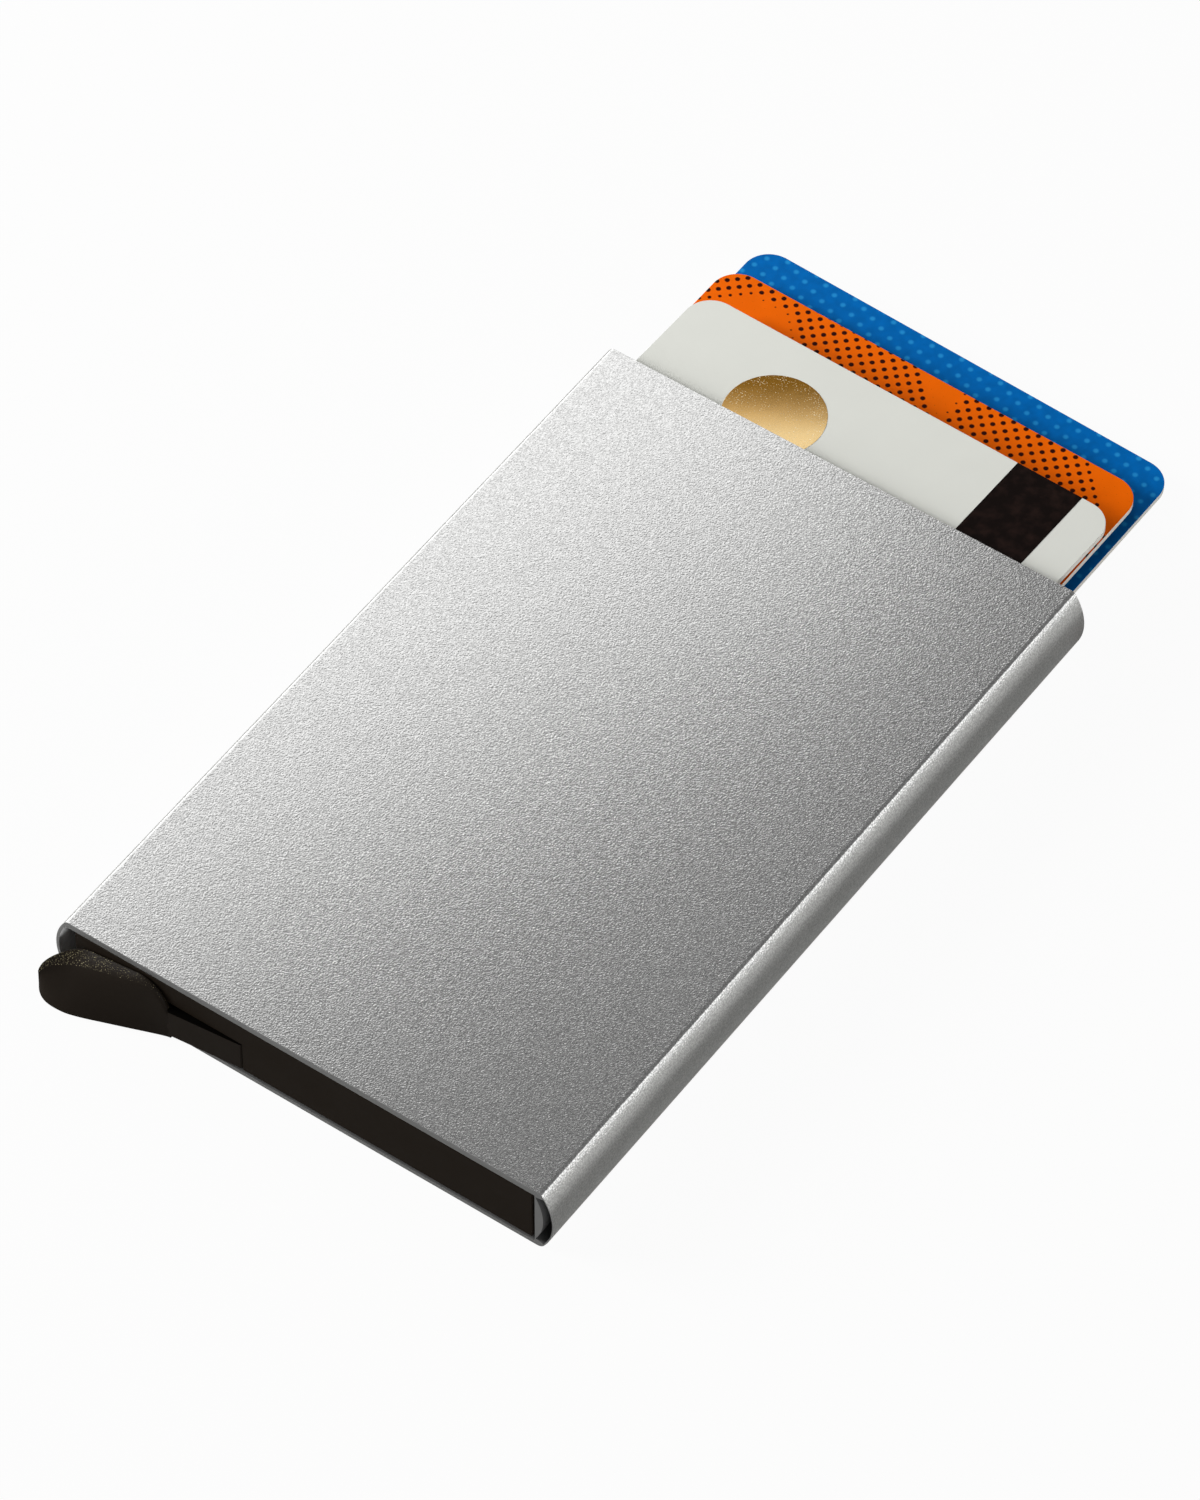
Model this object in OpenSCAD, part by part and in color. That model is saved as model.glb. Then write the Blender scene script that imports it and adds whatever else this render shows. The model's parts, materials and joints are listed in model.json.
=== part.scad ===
// Slim card holder: a one-piece aluminium extrusion that shields the cards, a plastic end cap,
// and a thumb lever whose stepped arm pushes the cards out in a fan.
// Units are millimetres. x runs across, y runs from the lever end to the mouth, z is up.
// The origin is the middle of the flat underside.

/* [Which piece] */
// Which piece is drawn

/* [Shell] */
// Room beyond a card's length for the cap and the lever
end_room = 10.3; // [8:0.1:16]
// Clear height of the card slot
slot_h = 7.1; // [6:0.1:10]
// Distance of a crease from the slot's side
crease_out = 0.88; // [0.4:0.01:1.5]
// How far the sides bulge past the creases
side_bulge = 1.51; // [0.8:0.01:2.5]
// Small radius along each crease
crease_r = 0.35; // [0.1:0.05:1]
// Thickness of the flat walls
wall_t = 0.9; // [0.6:0.05:1.5]
// Thickness of the side walls at mid height
side_wall_t = 0.4; // [0.3:0.05:1]
// Room in the card slot on each side of a card
side_room = 1.71; // [0.8:0.01:4]
// Thickness of a rib at mid height
rib_t = 1.2; // [0.8:0.05:2]
// Thickness of a rib at its foot and head
rib_root_t = 0.28; // [0.15:0.01:0.6]
// How far the left rib is milled back at the lever end
rib_cut_l = 3.0; // [1:0.5:15]
// Length of the latch window in each rib
latch_l = 3.0; // [2:0.1:5]
// Height of the latch window in each rib
latch_h = 3.0; // [2:0.1:5]
// Distance of the latch window from the lever end
latch_y = 5.2; // [4:0.1:9]

/* [End cap] */
// Gap between the cap and the shell all round
cap_gap = 0.05; // [0.02:0.01:0.2]
// Gap between the cap and each rib
cap_side_gap = 0.2; // [0.05:0.01:0.4]
// Thickness of the cap's front wall
front_t = 1.2; // [0.8:0.1:2.5]
// Depth of the cap into the shell
cap_d = 9.8; // [8:0.1:12]
// Width of the cap's right-hand post
post_w = 1.8; // [1.5:0.1:4]
// Height of the gap between the cap and the lever under it
seam_gap = 0.3; // [0.1:0.05:0.6]
// How far a latch stands out of the cap's side
latch_t = 0.8; // [0.4:0.05:1.1]

/* [Lever] */
// Distance of the pivot from the cap's left side
pivot_side = 15.9; // [12:0.1:20]
// Distance of the pivot from the lever end
pivot_in = 3.4; // [3:0.1:5]
// Radius of the lever's hub
hub_r = 6.05; // [5:0.05:8]
// Radial gap round the hub
hub_gap = 0.12; // [0.05:0.01:0.3]
// Height of the hub
hub_h = 3.8; // [2.5:0.1:5]
// Gap under the lever
under_gap = 0.15; // [0.05:0.05:0.4]
// Gap between the thumb pad and the end of the shell
pad_gap = 0.12; // [0.05:0.01:0.4]
// How far the lever swings
lever_swing = 45; // [20:1:50]
// Gap between the lowest step's end and the cap's post
step_gap = 0.5; // [0.3:0.1:2]
// Reach of the middle step, of the lowest step's
mid_reach_share = 0.804; // [0.6:0.001:0.9]
// Reach of the top step, of the lowest step's
top_reach_share = 0.544; // [0.4:0.001:0.7]
// Height at which the lowest step ends, of the slot's
low_rise_share = 0.324; // [0.25:0.001:0.5]
// Height at which the middle step ends, of the slot's
mid_rise_share = 0.775; // [0.6:0.001:0.9]
// Depth of the arm along the case, at the hub
arm_d = 7.7; // [4:0.1:8]
// Depth of the arm along the case, at its far end
arm_end_d = 4.6; // [2:0.1:8]
// Radius at which the arm rises past the cap
arm_rise_r = 7.6; // [7:0.1:9]
// Gap between the cap's roof and the risen arm
roof_gap = 0.3; // [0.1:0.05:0.6]

/* [Thumb pad] */
// Distance from the pivot at which the pad's outer flank leaves the end
flank_in = 15.2; // [12:0.1:17]
// Distance of the pad's outer corner from the pivot
tip_in = 16.9; // [14:0.1:19]
// How far that corner's centre stands out of the end
tip_y = 3.15; // [2:0.05:6]
// Radius of the outer corner
tip_r = 1.4; // [0.8:0.05:3]
// Distance of the pad's nose from the pivot
nose_in = 14.6; // [11:0.1:17]
// How far the nose's centre stands out of the end
nose_y = 1.55; // [1:0.01:4]
// Radius of the nose
nose_r = 3.0; // [1:0.1:5]
// Distance from the pivot at which the pad's face bends into the strip
root_in = 4.5; // [3:0.1:8]
// How far the face stands out there
pad_root_y = 0.95; // [0.3:0.01:2]
// Distance from the pivot at which the pad's lower lip starts
lip_in = 3.9; // [3:0.1:8]
// Height of the pad's underside
lip_z = 0.3; // [0:0.05:0.8]
// Depth of the pad's highest point under the shell's top
pad_drop = 0.45; // [0.2:0.05:2]
// Distance from the pivot of the pad's side beside the strip
pad_side_in = 2.8; // [1:0.1:6]
// Radius of the pad's top corner above the strip
pad_corner_r = 3.4; // [1:0.05:5]
// Distance from the pivot of the point that places the grained top
top_in = 7.4; // [4:0.1:12]
// Depth of the grained top there, under the shell's top
top_drop = 0.77; // [0.3:0.01:3]
// Slope of the grained top towards the front
top_slope = 41.2; // [10:0.1:60]
// Fall of the grained top towards the tip
top_fall = 9.1; // [0:0.1:20]
// Distance from the pivot of the point that places the leaning face
lean_in = 12.1; // [8:0.1:16]
// How far that point stands out of the end
lean_y = 1.35; // [0.5:0.01:4]
// Depth of that point under the shell's top
lean_drop = 3.0; // [1:0.05:6]
// Lean of the face back from its lower edge
pad_lean = 31.2; // [5:0.1:50]
// Turn of the leaning face in plan
lean_turn = 3.5; // [0:0.1:20]

/* [Pivot pin and return spring] */
// Radius of the pivot pin
pin_r = 1.25; // [0.8:0.05:2]
// Radial gap between the pin and the lever
pin_gap = 0.05; // [0.01:0.01:0.1]
// Thickness of the cap over the pin
pin_cover = 0.55; // [0.3:0.05:1.2]
// Radius of the spring's wire
wire_r = 0.2; // [0.1:0.02:0.35]
// Mean radius of the spring's coil
coil_r = 2.5; // [1.8:0.1:3.5]
// Rise of the coil in one turn
coil_pitch = 0.55; // [0.45:0.01:0.9]
// Turns of the coil
coil_turns = 2.25; // [1.25:0.25:3.25]
// Length of the spring's moving leg
leg_l = 2.0; // [1:0.1:3]

/* [Card spring] */
// Width of the leaf
leaf_w = 5.0; // [3:0.1:8]
// Thickness of the leaf
leaf_t = 0.2; // [0.1:0.05:0.4]
// Distance of the leaf's middle line from the slot's left side
leaf_side = 7.2; // [5:0.1:9]
// Gap between the top of the bow and the lowest card
leaf_gap = 0.1; // [0.05:0.01:0.4]
// Length of the bow
leaf_l = 52; // [30:1:70]
// Where the leaf's clamped foot starts, from the lever end
foot_y = 6.8; // [5:0.1:8]
// Where the bow starts, from the lever end
bow_y = 14; // [11:0.5:25]

/* [Cards] */
// Length of a card
card_l = 85.6; // [85:0.1:86]
// Width of a card
card_w = 53.98; // [53.5:0.01:54.5]
// Thickness of a card
card_t = 0.76; // [0.7:0.01:0.84]
// Corner radius of a card
card_r = 3.18; // [2.5:0.01:3.5]
// How far the white card stands out of the mouth
white_out = 12.63; // [5:0.01:40]
// How far the orange card stands out of the mouth
orange_out = 19.75; // [5:0.01:40]
// How far the blue card stands out of the mouth
blue_out = 25.21; // [5:0.01:40]
// Sideways place of the white card's outer end
white_x = 0.19; // [-1:0.01:1]
// Sideways place of the orange card's outer end
orange_x = -0.99; // [-2:0.01:1]
// Sideways place of the blue card's outer end
blue_x = -0.49; // [-2:0.01:1]
// Gap between the white card and the slot's roof
white_gap = 0.169; // [0.05:0.001:0.5]
// Depth of the orange card's left edge in the slot, of the slot's height
orange_left_share = 0.38; // [0.3:0.001:0.45]
// Depth of the orange card's right edge in the slot, of the slot's height
orange_right_share = 0.558; // [0.45:0.001:0.65]
// Depth of the blue card's left edge in the slot, of the slot's height
blue_left_share = 0.5585; // [0.5:0.0005:0.65]
// Gap between the blue card's right edge and the slot's floor
blue_gap = 0.06; // [0.03:0.01:0.3]
// Turn of the white card in its plane
white_turn = -1.23; // [-3:0.01:3]
// Turn of the orange card in its plane
orange_turn = -0.43; // [-3:0.01:3]
// Turn of the blue card in its plane
blue_turn = -0.31; // [-3:0.01:3]
// Depth of the stripe and of the disc in the white card
inlay_t = 0.08; // [0.05:0.01:0.2]
// Width of the magnetic stripe
stripe_w = 8.3; // [6:0.1:13]
// Distance of the stripe from the card's right edge
stripe_in = 4.5; // [2:0.1:10]
// Radius of the foil disc
disc_r = 5.73; // [3:0.01:10]
// Distance of the disc's middle from the card's middle line
disc_x = 10.5; // [0:0.1:20]
// Distance of the disc's middle from the card's outer edge
disc_y = 9.98; // [6:0.01:30]

/* [Hidden] */
fine = 96;
// the case is as long and as wide as a card and its room
body_l = card_l + end_room;
slot_w = card_w + side_room * 2;
flat_w = slot_w + crease_out * 2;
body_h = slot_h + wall_t * 2;
mid_z = body_h / 2;
floor_z = wall_t;
roof_z = body_h - wall_t;
// radius of an arc of this rise over half a chord
function arc_r(half, rise) = (half * half + rise * rise) / (rise * 2);
// side arcs pass the creases
side_r = arc_r(mid_z, side_bulge);
side_cx = flat_w / 2 + side_bulge - side_r;
// crease fillet, tangent to the flat and to the side arc
crease_x = side_cx + sqrt(pow(side_r - crease_r, 2) - pow(mid_z - crease_r, 2));
crease_a = atan2(mid_z - crease_r, crease_x - side_cx);
hollow_edge = 0.15 * wall_t;
// back of a rib
rib_r = arc_r(slot_h / 2 - hollow_edge, rib_t - rib_root_t);
rib_cx = slot_w / 2 + rib_t - rib_r;
cap_x = slot_w / 2 - cap_side_gap;
pivot_left = cap_x - pivot_side;
leaf_x = slot_w / 2 - leaf_side;
cap_z0 = floor_z + cap_gap;
cap_z1 = roof_z - cap_gap;
cap_h = cap_z1 - cap_z0;
lever_z0 = floor_z + under_gap;
lever_z1 = lever_z0 + hub_h;
flange_z = lever_z1 + seam_gap;
arm_z1 = roof_z - under_gap;
arm_y1 = pivot_in + hub_r - cap_gap;
arm_y0 = arm_y1 - arm_d;
pin_z0 = lever_z0;
pin_z1 = cap_z1 - pin_cover;
recess_r = coil_r + wire_r * 3;
recess_d = coil_pitch * coil_turns + wire_r * 4;
coil_z = lever_z1 - recess_d + wire_r * 2;
leg_slot = wire_r * 3;
// reach of the arm's steps from the pivot, and their heights
step_low = cap_x - post_w - step_gap + pivot_left;
step_mid = step_low * mid_reach_share;
step_top = step_low * top_reach_share;
step_low_z = floor_z + slot_h * low_rise_share;
step_mid_z = floor_z + slot_h * mid_rise_share;
// places along the pad, from the middle
flank_x = pivot_left + flank_in;
tip_x = pivot_left + tip_in;
nose_x = pivot_left + nose_in;
pad_root_x = pivot_left + root_in;
lip_x = pivot_left + lip_in;
pad_side_x = pivot_left + pad_side_in;
top_x = pivot_left + top_in;
lean_x = pivot_left + lean_in;
// where the strip ends, on the hub's circle and flush with the end
strip_x = pivot_left - sqrt(hub_r * hub_r - pivot_in * pivot_in);
// depth of each card's face under the shell's top, at its middle, and its tilt from edge to edge
white_z = wall_t + white_gap;
orange_left = slot_h * orange_left_share;
orange_right = slot_h * orange_right_share;
orange_z = wall_t + (orange_left + orange_right) / 2;
orange_tilt = asin((orange_right - orange_left) / card_w);
blue_left = slot_h * blue_left_share;
blue_right = slot_h - card_t - blue_gap;
blue_z = wall_t + (blue_left + blue_right) / 2;
blue_tilt = asin((blue_right - blue_left) / card_w);
// rise of the leaf's bow, up to the blue card over its right edge
leaf_rise = body_h - blue_z - card_t + (leaf_x - leaf_w / 2 + blue_x) * tan(blue_tilt)
    - floor_z - leaf_t - leaf_gap;
leaf_r = arc_r(leaf_l / 2, leaf_rise);
wire_sides = 6;
big = body_l * 2;

// shapes are drawn from the lever end, then moved so that the origin is the middle
module from_end() { translate([0, -body_l / 2, 0]) children(); }

// a flat outline in x and z, drawn out along y from y0 over l
module along(y0, l) { translate([0, y0 + l, 0]) rotate([90, 0, 0]) linear_extrude(height = l) children(); }

// a flat outline in y and z, drawn out along x from x0 over w
module across(x0, w) { translate([x0, 0, 0]) rotate([90, 0, 90]) linear_extrude(height = w) children(); }

module both_sides() { children(); mirror([1, 0, 0]) children(); }

module outer2d() {
    polygon([[-crease_x, 0], [crease_x, 0], [side_cx, mid_z], [crease_x, body_h],
             [-crease_x, body_h], [-side_cx, mid_z]]);
    both_sides() {
        // the side arc, kept between its two tangent points
        intersection() {
            translate([side_cx, mid_z]) circle(r = side_r, $fn = fine);
            polygon([[side_cx, mid_z],
                     [side_cx + side_r * 2 * cos(crease_a), mid_z - side_r * 2 * sin(crease_a)],
                     [side_cx + side_r * 2 * cos(crease_a), mid_z + side_r * 2 * sin(crease_a)]]);
        }
        for (z = [crease_r, body_h - crease_r])
            translate([crease_x, z]) circle(r = crease_r, $fn = fine);
    }
}

module hollow2d() {
    difference() {
        intersection() {
            translate([side_cx, mid_z]) circle(r = side_r - side_wall_t, $fn = fine);
            translate([slot_w / 2, floor_z + hollow_edge])
                square([side_r, roof_z - floor_z - hollow_edge * 2]);
        }
        translate([rib_cx, mid_z]) circle(r = rib_r, $fn = fine);
    }
}

module slot2d() { translate([-slot_w / 2, floor_z]) square([slot_w, roof_z - floor_z]); }

// end of the left channel where the rib is milled away
module milled2d() {
    intersection() {
        translate([-side_cx, mid_z]) circle(r = side_r - side_wall_t, $fn = fine);
        translate([-slot_w / 2 - side_r, floor_z]) square([side_r, roof_z - floor_z]);
    }
}

module shell() {
    color("Silver") from_end() difference() {
        along(0, body_l) difference() {
            outer2d();
            slot2d();
            both_sides() hollow2d();
        }
        along(-rib_cut_l, rib_cut_l * 2) milled2d();
        both_sides()
            translate([slot_w / 2 - rib_t, latch_y, mid_z - latch_h / 2])
                cube([rib_t * 2.2, latch_l, latch_h]);
    }
}

module cap_plan() {
    // front wall
    translate([-cap_x, 0]) square([cap_x * 2, front_t]);
    // left block, clear of the hub
    translate([-cap_x, 0]) square([cap_x - pivot_left - hub_r - hub_gap * 4, cap_d]);
    // right post
    translate([cap_x - post_w, 0]) square([post_w, cap_d]);
}

module roof_plan() {
    translate([-cap_x, 0]) square([cap_x - pivot_left, cap_d]);
    intersection() {
        translate([-pivot_left, pivot_in]) circle(r = arm_rise_r - roof_gap, $fn = fine);
        translate([-pivot_left, 0]) square([hub_r * 2, cap_d]);
    }
}

module latch() {
    translate([cap_x, latch_y + cap_side_gap, mid_z - latch_h / 2 + cap_side_gap])
        linear_extrude(height = latch_h - cap_side_gap * 2)
            polygon([[-cap_side_gap, 0], [latch_t * 0.2, 0],
                     [latch_t, (latch_l - cap_side_gap * 2) * 0.75],
                     [latch_t * 0.6, latch_l - cap_side_gap * 2],
                     [-cap_side_gap, latch_l - cap_side_gap * 2]]);
}

module end_cap() {
    color([0.13, 0.12, 0.11]) from_end() difference() {
        union() {
            translate([0, 0, cap_z0]) linear_extrude(height = cap_h) cap_plan();
            translate([0, 0, flange_z]) linear_extrude(height = cap_z1 - flange_z) roof_plan();
            both_sides() latch();
        }
        // pocket of the hub
        translate([-pivot_left, pivot_in, 0]) cylinder(r = hub_r + hub_gap, h = flange_z, $fn = fine);
        // hole of the pin
        translate([-pivot_left, pivot_in, 0]) cylinder(r = pin_r, h = pin_z1, $fn = fine);
        // hole of the spring's fixed leg
        translate([-pivot_left - coil_r, pivot_in, 0])
            cylinder(r = wire_r * 2, h = flange_z + wire_r * 6, $fn = fine / 4);
        // slot of the leaf's foot
        translate([-leaf_x - leaf_w / 2 - cap_gap, foot_y - cap_gap, 0])
            cube([leaf_w + cap_gap * 2, cap_d, floor_z + leaf_t + cap_gap * 2]);
    }
}

// slant of the pad's front in plan, from the bend to the nose, and of its flank to the tip
pad_dx = nose_x - pad_root_x;
pad_dy = nose_y - pad_root_y;
pad_plan_a = atan2(pad_dy, pad_dx) + asin(nose_r / sqrt(pad_dx * pad_dx + pad_dy * pad_dy));
flank_dx = tip_x - flank_x;
flank_dy = tip_y - pad_gap;
flank_d = sqrt(flank_dx * flank_dx + flank_dy * flank_dy);
flank_a = atan2(flank_dy, flank_dx) - asin(tip_r / flank_d);
flank_l = sqrt(flank_d * flank_d - tip_r * tip_r);

module pad_plan() {
    polygon([[-flank_x, -pad_gap],
             [-flank_x - flank_l * cos(flank_a), -pad_gap - flank_l * sin(flank_a)],
             [-tip_x, -tip_y], [-tip_x, -tip_y - tip_r], [-nose_x, -nose_y - nose_r],
             [-nose_x + nose_r * sin(pad_plan_a), -nose_y - nose_r * cos(pad_plan_a)],
             [-pad_root_x, -pad_root_y], [-strip_x, 0], [-pivot_left, pivot_in],
             [-pivot_left - hub_r * 0.8, pivot_in], [-pivot_left - hub_r * 0.8, -pad_gap]]);
    translate([-tip_x, -tip_y]) circle(r = tip_r, $fn = fine);
    intersection() {
        translate([-nose_x, -nose_y]) circle(r = nose_r, $fn = fine);
        translate([-nose_x, -nose_y - nose_r]) square([nose_r, nose_r + nose_y - pad_gap]);
    }
}

module pad_front() {
    // seen from the front: full height at the tip, one rounded corner above the strip
    top = body_h - pad_drop;
    corner_x = -pad_side_x - pad_corner_r;
    translate([-tip_x - tip_r * 2, lip_z]) square([tip_x + tip_r * 2 + corner_x, top - lip_z]);
    translate([corner_x, lip_z]) square([-lip_x - corner_x, lever_z0]);
    translate([corner_x, lever_z0]) square([-strip_x - corner_x, hub_h]);
    intersection() {
        translate([corner_x, top - pad_corner_r]) circle(r = pad_corner_r, $fn = fine);
        translate([corner_x, lever_z0]) square([pad_corner_r, body_h]);
    }
}

module pad() {
    difference() {
        intersection() {
            linear_extrude(height = body_h) pad_plan();
            along(-hub_r * 2, hub_r * 3) pad_front();
        }
        // inside the end of the shell only the strip's height is left
        translate([-tip_x * 2, -pad_gap, lever_z1]) cube([tip_x * 2, hub_r * 2, body_h]);
        translate([-tip_x * 2, -pad_gap, -body_h]) cube([tip_x * 2, hub_r * 2, body_h + lever_z0]);
        // the grained top slopes to the front and falls to the tip
        translate([-top_x, 0, body_h - top_drop])
            rotate([top_slope, -top_fall, 0]) translate([-big / 2, -big / 2, 0]) cube([big, big, big]);
        // the face leans back above its lower edge
        translate([-lean_x, -lean_y, body_h - lean_drop])
            rotate([-pad_lean, 0, -lean_turn]) translate([-big / 2, -big, -big / 2]) cube([big, big, big]);
    }
}

module arm_plan(reach) {
    polygon([[-pivot_left, arm_y0], [-pivot_left + arm_rise_r, arm_y0],
             [-pivot_left + reach, arm_y1 - arm_end_d], [-pivot_left + reach, arm_y1], [-pivot_left, arm_y1]]);
}

module lever() {
    color([0.14, 0.13, 0.12]) from_end() {
        difference() {
            union() {
                // hub, cut flush with the end
                translate([-pivot_left, pivot_in, lever_z0]) cylinder(r = hub_r, h = hub_h, $fn = fine);
                // lowest step
                translate([0, 0, lever_z0]) linear_extrude(height = step_low_z - lever_z0) arm_plan(step_low);
                // middle and top steps rise outside the cap's roof
                difference() {
                    union() {
                        translate([0, 0, lever_z0])
                            linear_extrude(height = step_mid_z - lever_z0) arm_plan(step_mid);
                        translate([0, 0, lever_z0])
                            linear_extrude(height = arm_z1 - lever_z0) arm_plan(step_top);
                    }
                    translate([-pivot_left, pivot_in, lever_z1])
                        cylinder(r = arm_rise_r, h = body_h, $fn = fine);
                }
            }
            translate([-pivot_left - hub_r * 2, -hub_r * 2, 0]) cube([hub_r * 4, hub_r * 2, body_h]);
            // bore of the pin
            translate([-pivot_left, pivot_in, 0]) cylinder(r = pin_r + pin_gap, h = body_h, $fn = fine);
            spring_room();
        }
        difference() {
            pad();
            translate([-pivot_left, pivot_in, 0]) cylinder(r = pin_r + pin_gap, h = body_h, $fn = fine);
            spring_room();
        }
    }
}

// recess of the return spring in the hub, with the slot of its moving leg
module spring_room() {
    translate([-pivot_left, pivot_in, lever_z1 - recess_d])
        cylinder(r = recess_r, h = recess_d * 2, $fn = fine);
    translate([-pivot_left, pivot_in - leg_slot / 2, lever_z1 - recess_d])
        cube([coil_r + leg_l + wire_r, leg_slot, recess_d * 2]);
}

module pivot_pin() {
    color("Gainsboro") from_end() translate([-pivot_left, pivot_in, pin_z0])
        cylinder(r = pin_r, h = pin_z1 - pin_z0, $fn = fine);
}

// one unbroken tube through a list of points
function tube_dir(p, i) = let (a = p[max(i - 1, 0)], b = p[min(i + 1, len(p) - 1)], d = b - a) d / norm(d);
function tube_ring(p, i, r) =
    let (d = tube_dir(p, i), ref = abs(d[2]) > 0.9 ? [0, 1, 0] : [0, 0, 1],
         s = cross(ref, d), u = s / norm(s), w = cross(d, u), step = 360 / wire_sides)
    [for (k = [0 : wire_sides - 1]) p[i] + r * (u * cos(step * k) + w * sin(step * k))];
module tube(p, r) {
    m = wire_sides;
    n = len(p);
    pts = [for (i = [0 : n - 1]) each tube_ring(p, i, r)];
    sides = [for (i = [0 : n - 2], k = [0 : m - 1]) each
        [[i * m + k, (i + 1) * m + k, i * m + (k + 1) % m],
         [i * m + (k + 1) % m, (i + 1) * m + k, (i + 1) * m + (k + 1) % m]]];
    ends = [for (k = [1 : m - 2]) each [[0, k, k + 1], [(n - 1) * m, (n - 1) * m + k + 1, (n - 1) * m + k]]];
    polyhedron(points = pts, faces = [for (f = concat(sides, ends)) [f[2], f[1], f[0]]]);
}

spring_steps = 16 * coil_turns;
// the coil starts at the moving leg, on the right, and ends a quarter turn short of whole turns
spring_path = concat(
    [[coil_r + leg_l, 0, 0]],
    [for (i = [0 : spring_steps]) let (a = -360 * coil_turns * i / spring_steps)
        [coil_r * cos(a), coil_r * sin(a), coil_pitch * coil_turns * i / spring_steps]]);

module return_spring() {
    color("LightSteelBlue") from_end() translate([-pivot_left, pivot_in, coil_z]) {
        tube(spring_path, wire_r);
    }
}

module leaf2d() {
    translate([foot_y, floor_z]) square([bow_y - foot_y, leaf_t]);
    intersection() {
        translate([bow_y + leaf_l / 2, floor_z + leaf_t + leaf_rise - leaf_r]) difference() {
            circle(r = leaf_r, $fn = fine * 8);
            circle(r = leaf_r - leaf_t, $fn = fine * 8);
        }
        translate([bow_y - leaf_t, floor_z]) square([leaf_l + leaf_t * 2, leaf_rise * 2]);
    }
}

module card_spring() {
    color("Gainsboro") from_end() across(-leaf_x - leaf_w / 2, leaf_w) leaf2d();
}

// a card whose outer edge's middle is at the origin, face on top
module card_body() {
    translate([0, -card_l / 2, -card_t]) linear_extrude(height = card_t) {
        square([card_w - card_r * 2, card_l], center = true);
        square([card_w, card_l - card_r * 2], center = true);
        for (x = [-1, 1], y = [-1, 1])
            translate([x * (card_w / 2 - card_r), y * (card_l / 2 - card_r)]) circle(r = card_r, $fn = fine);
    }
}

module place_card(x, out, z, turn, tilt) {
    translate([x, body_l / 2 + out, body_h - z]) rotate([0, tilt, turn]) children();
}

module place_white() { place_card(white_x, white_out, white_z, white_turn, 0) children(); }

module stripe_solid(h) {
    translate([card_w / 2 - stripe_in - stripe_w, -card_l, -inlay_t]) cube([stripe_w, card_l, h]);
}

module disc_solid(h) {
    translate([-disc_x, -disc_y, -inlay_t]) cylinder(r = disc_r, h = h, $fn = fine);
}

module card_white() {
    color("Ivory") place_white() difference() {
        card_body();
        stripe_solid(card_t);
        disc_solid(card_t);
    }
}

module magnetic_stripe() { color([0.07, 0.06, 0.06]) place_white() stripe_solid(inlay_t); }

module foil_disc() { color("Goldenrod") place_white() disc_solid(inlay_t); }

module card_orange() {
    color("DarkOrange") place_card(orange_x, orange_out, orange_z, orange_turn, orange_tilt) card_body();
}

module card_blue() {
    color("SteelBlue") place_card(blue_x, blue_out, blue_z, blue_turn, blue_tilt) card_body();
}

shell();
end_cap();
lever();
pivot_pin();
return_spring();
card_spring();
card_white();
magnetic_stripe();
foil_disc();
card_orange();
card_blue();
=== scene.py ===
"""A slim aluminium card holder with a thumb lever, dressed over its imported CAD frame.

Lengths are metres in the frame's own axes: x across, y towards the mouth, z up.
"""

import json
import math

import bmesh
import bpy
import numpy as np
from mathutils import Matrix, Vector
from mathutils.geometry import tessellate_polygon

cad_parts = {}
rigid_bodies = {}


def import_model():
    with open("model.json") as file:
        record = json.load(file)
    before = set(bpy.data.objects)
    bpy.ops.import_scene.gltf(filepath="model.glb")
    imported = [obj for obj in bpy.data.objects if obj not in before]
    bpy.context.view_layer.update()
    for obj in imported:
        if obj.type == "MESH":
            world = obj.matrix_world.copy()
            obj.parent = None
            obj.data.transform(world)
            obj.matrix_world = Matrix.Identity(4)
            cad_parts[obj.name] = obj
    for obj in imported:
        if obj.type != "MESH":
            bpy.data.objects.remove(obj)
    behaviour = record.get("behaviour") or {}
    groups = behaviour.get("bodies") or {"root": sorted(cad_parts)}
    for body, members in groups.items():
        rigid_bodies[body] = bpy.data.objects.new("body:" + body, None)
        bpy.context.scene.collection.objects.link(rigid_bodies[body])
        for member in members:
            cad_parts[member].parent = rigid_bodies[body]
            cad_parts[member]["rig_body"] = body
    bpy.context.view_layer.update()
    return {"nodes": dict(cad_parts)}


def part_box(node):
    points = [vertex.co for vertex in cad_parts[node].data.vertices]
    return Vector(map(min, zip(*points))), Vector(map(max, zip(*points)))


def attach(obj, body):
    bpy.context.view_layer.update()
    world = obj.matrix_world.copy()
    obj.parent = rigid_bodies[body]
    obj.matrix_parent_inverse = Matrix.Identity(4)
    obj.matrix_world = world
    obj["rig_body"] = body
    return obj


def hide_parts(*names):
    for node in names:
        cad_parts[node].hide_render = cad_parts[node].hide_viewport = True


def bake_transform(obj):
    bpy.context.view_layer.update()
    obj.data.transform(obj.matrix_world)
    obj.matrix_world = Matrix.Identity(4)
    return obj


bl_info = {
    "name": "Slim card holder",
    "version": (1, 0, 0),
    "blender": (4, 5, 0),
    "location": "3D View > Sidebar > Card holder",
    "description": "Builds the looks of an aluminium card holder with a thumb lever",
    "category": "Object",
}

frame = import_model()

MM = 0.001
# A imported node's point this near to a plane lies on it.
CLOSE = 0.01 * MM
# Points this near are one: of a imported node's loose triangles, and of a new surface.
LOOSE = 0.002 * MM
SAME = 0.0001 * MM
# Steps in each of the three stretches of a rib's back: above, at and below its window.
RIB_STEPS = 8
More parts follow.
